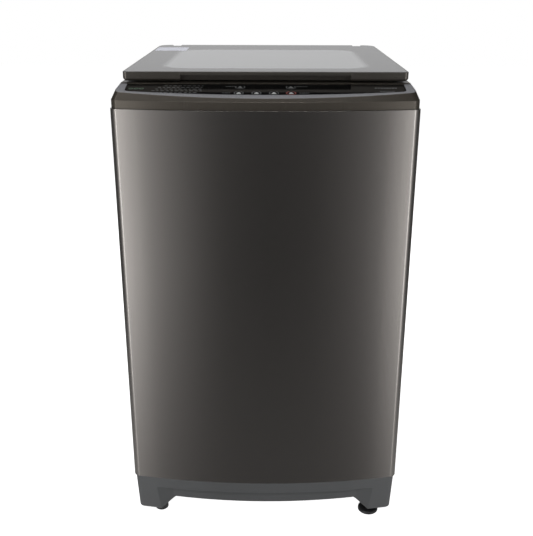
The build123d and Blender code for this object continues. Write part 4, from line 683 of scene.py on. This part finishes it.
# ---- stage --------------------------------------------------------------------------
FLOOR_HALF = 12.0
FLOOR_DROP = 0.0002                 # keeps the floor clear of the feet


def stage():
    """A plain pale floor under the machine, bright enough to be white beside it."""
    s = Shader("floor_paint")
    s.link(s.mix(s.spread(s.noise(2.0), 0.0, 1.0),
                 (0.86, 0.86, 0.86, 1), (0.88, 0.88, 0.88, 1)),
           s.bsdf.inputs["Base Color"])
    s.bsdf.inputs["Roughness"].default_value = 0.9
    s.bsdf.inputs["Specular IOR Level"].default_value = 0.1
    s.bsdf.inputs["Emission Color"].default_value = (1.0, 1.0, 1.0, 1.0)
    s.bsdf.inputs["Emission Strength"].default_value = 0.97
    mesh = bmesh.new()
    bmesh.ops.create_grid(mesh, x_segments=1, y_segments=1, size=FLOOR_HALF)
    floor = mesh_object("floor", mesh, s.material)
    floor.location = (0.0, 0.0, -FLOOR_DROP)
    floor.visible_glossy = False    # gloss shows the surround's own, darker floor instead


stage()


# The surround's brightness, which paint and glass mirror.
SURROUND = 4.0
# How far round from the front, as a part of half a turn, and the level there, on each side
AROUND_LEFT = (
    (0.0, 0.009), (0.055, 0.015), (0.085, 0.032), (0.122, 0.076), (0.150, 0.125), (0.167, 0.17),
    (0.180, 0.26), (0.195, 0.68), (0.21, 1.30), (0.226, 1.15), (0.248, 0.36), (0.30, 0.16),
    (0.38, 0.06), (0.46, 0.03), (0.80, 0.02), (0.90, 0.14), (1.0, 0.14),
)
AROUND_RIGHT = (
    (0.0, 0.009), (0.055, 0.012), (0.085, 0.021), (0.122, 0.040), (0.150, 0.070), (0.165, 0.090),
    (0.174, 0.19), (0.185, 0.42), (0.195, 0.72), (0.21, 1.08), (0.226, 0.95), (0.248, 0.30),
    (0.30, 0.14), (0.38, 0.06), (0.46, 0.03), (0.80, 0.02), (0.90, 0.14), (1.0, 0.14),
)
# Heights are the Z of a direction of length 1.
CEILING_START = sin(radians(15.0))  # from here up to CEILING_FULL the surround fades to a ceiling
CEILING_FULL = sin(radians(23.0))
CEILING_LEVEL = 0.015
SWEEP_START = -0.34         # below these heights the surround fades to an even floor
SWEEP_FULL = -0.60
SWEEP_PART = 0.80           # how much of it the floor replaces there
SWEEP_LEVEL = 0.025
SWEEP_SIDE_LEVEL = 0.120    # the same floor beside and behind the machine
SIDE_START = 0.20           # as far round as in the lists above
SIDE_FULL = 0.32


def area_light(name, at, toward, size, power):
    """A white rectangular light at a place, with its face toward a point."""
    data = bpy.data.lights.new(name, "AREA")
    data.shape = "RECTANGLE"
    data.size, data.size_y = size
    data.energy = power
    light = bpy.data.objects.new(name, data)
    light.location = at
    light.rotation_euler = (Vector(toward) - Vector(at)).to_track_quat("-Z", "Y").to_euler()
    scene.collection.objects.link(light)


def world_light():
    """A studio surround: bright strips beside the machine, dark in front and above.

    The camera itself sees plain white instead of it.
    """
    world = bpy.data.worlds.new("studio")
    scene.world = world
    world.use_nodes = True
    tree = world.node_tree
    tree.nodes.clear()

    def add(kind, *values, **settings):
        node = tree.nodes.new(kind)
        for key, value in settings.items():
            setattr(node, key, value)
        for socket, value in zip(node.inputs, values):
            if isinstance(value, bpy.types.NodeSocket):
                tree.links.new(value, socket)
            else:
                socket.default_value = value
        return node

    def math(operation, *values):
        return add("ShaderNodeMath", *values, operation=operation).outputs[0]

    direction = add("ShaderNodeTexCoord").outputs["Generated"]
    split = add("ShaderNodeSeparateXYZ", direction)
    # 0 straight in front of the machine, 0.5 at its sides and 1 behind it
    aside = math("ABSOLUTE", split.outputs["X"])
    forward = math("MULTIPLY", split.outputs["Y"], -1.0)
    turn = math("DIVIDE", math("ARCTAN2", aside, forward), pi)

    def ramp(stops):
        """The level at each turn, from a list of turns and levels."""
        node = add("ShaderNodeValToRGB", turn)
        elements = node.color_ramp.elements
        while len(elements) < len(stops):
            elements.new(0.5)
        for element, (position, level) in zip(elements, stops):
            element.position = position
            element.color = (level, level, level, 1.0)
        return node.outputs[0]

    def mix(factor, first, second):
        node = add("ShaderNodeMix", factor, data_type="RGBA")
        tree.links.new(first, node.inputs[MIX_FIRST])
        tree.links.new(second, node.inputs[MIX_SECOND])
        return node.outputs[2]

    def change(value, start, full, before, after, **settings):
        return add("ShaderNodeMapRange", value, start, full, before, after, **settings).outputs[0]

    height = split.outputs["Z"]
    ceiling = change(height, CEILING_START, CEILING_FULL, 1.0, CEILING_LEVEL,
                     interpolation_type="SMOOTHSTEP")
    level = math("MULTIPLY", ceiling, SURROUND)
    right = math("GREATER_THAN", split.outputs["X"], 0.0)
    walls = mix(right, ramp(AROUND_LEFT), ramp(AROUND_RIGHT))
    floor = change(turn, SIDE_START, SIDE_FULL, SWEEP_LEVEL, SWEEP_SIDE_LEVEL)
    sweep = change(height, SWEEP_START, SWEEP_FULL, 0.0, SWEEP_PART)
    lit = add("ShaderNodeBackground", mix(sweep, walls, floor), level)
    plain = add("ShaderNodeBackground", (1.0, 1.0, 1.0, 1.0), 1.0)
    seen = add("ShaderNodeLightPath").outputs["Is Camera Ray"]
    either = add("ShaderNodeMixShader", seen, lit.outputs[0], plain.outputs[0])
    add("ShaderNodeOutputWorld", either.outputs[0])


world_light()
area_light("top_soft", at=(-0.3, 0.8, 3.2), toward=(-0.3, 0.8, 0.0),
           size=(2.6, 2.0), power=60.0)
area_light("front_strip", at=(0.0, -2.6, 2.9), toward=(0.0, -0.3, 0.97),
           size=(2.2, 0.3), power=32.0)
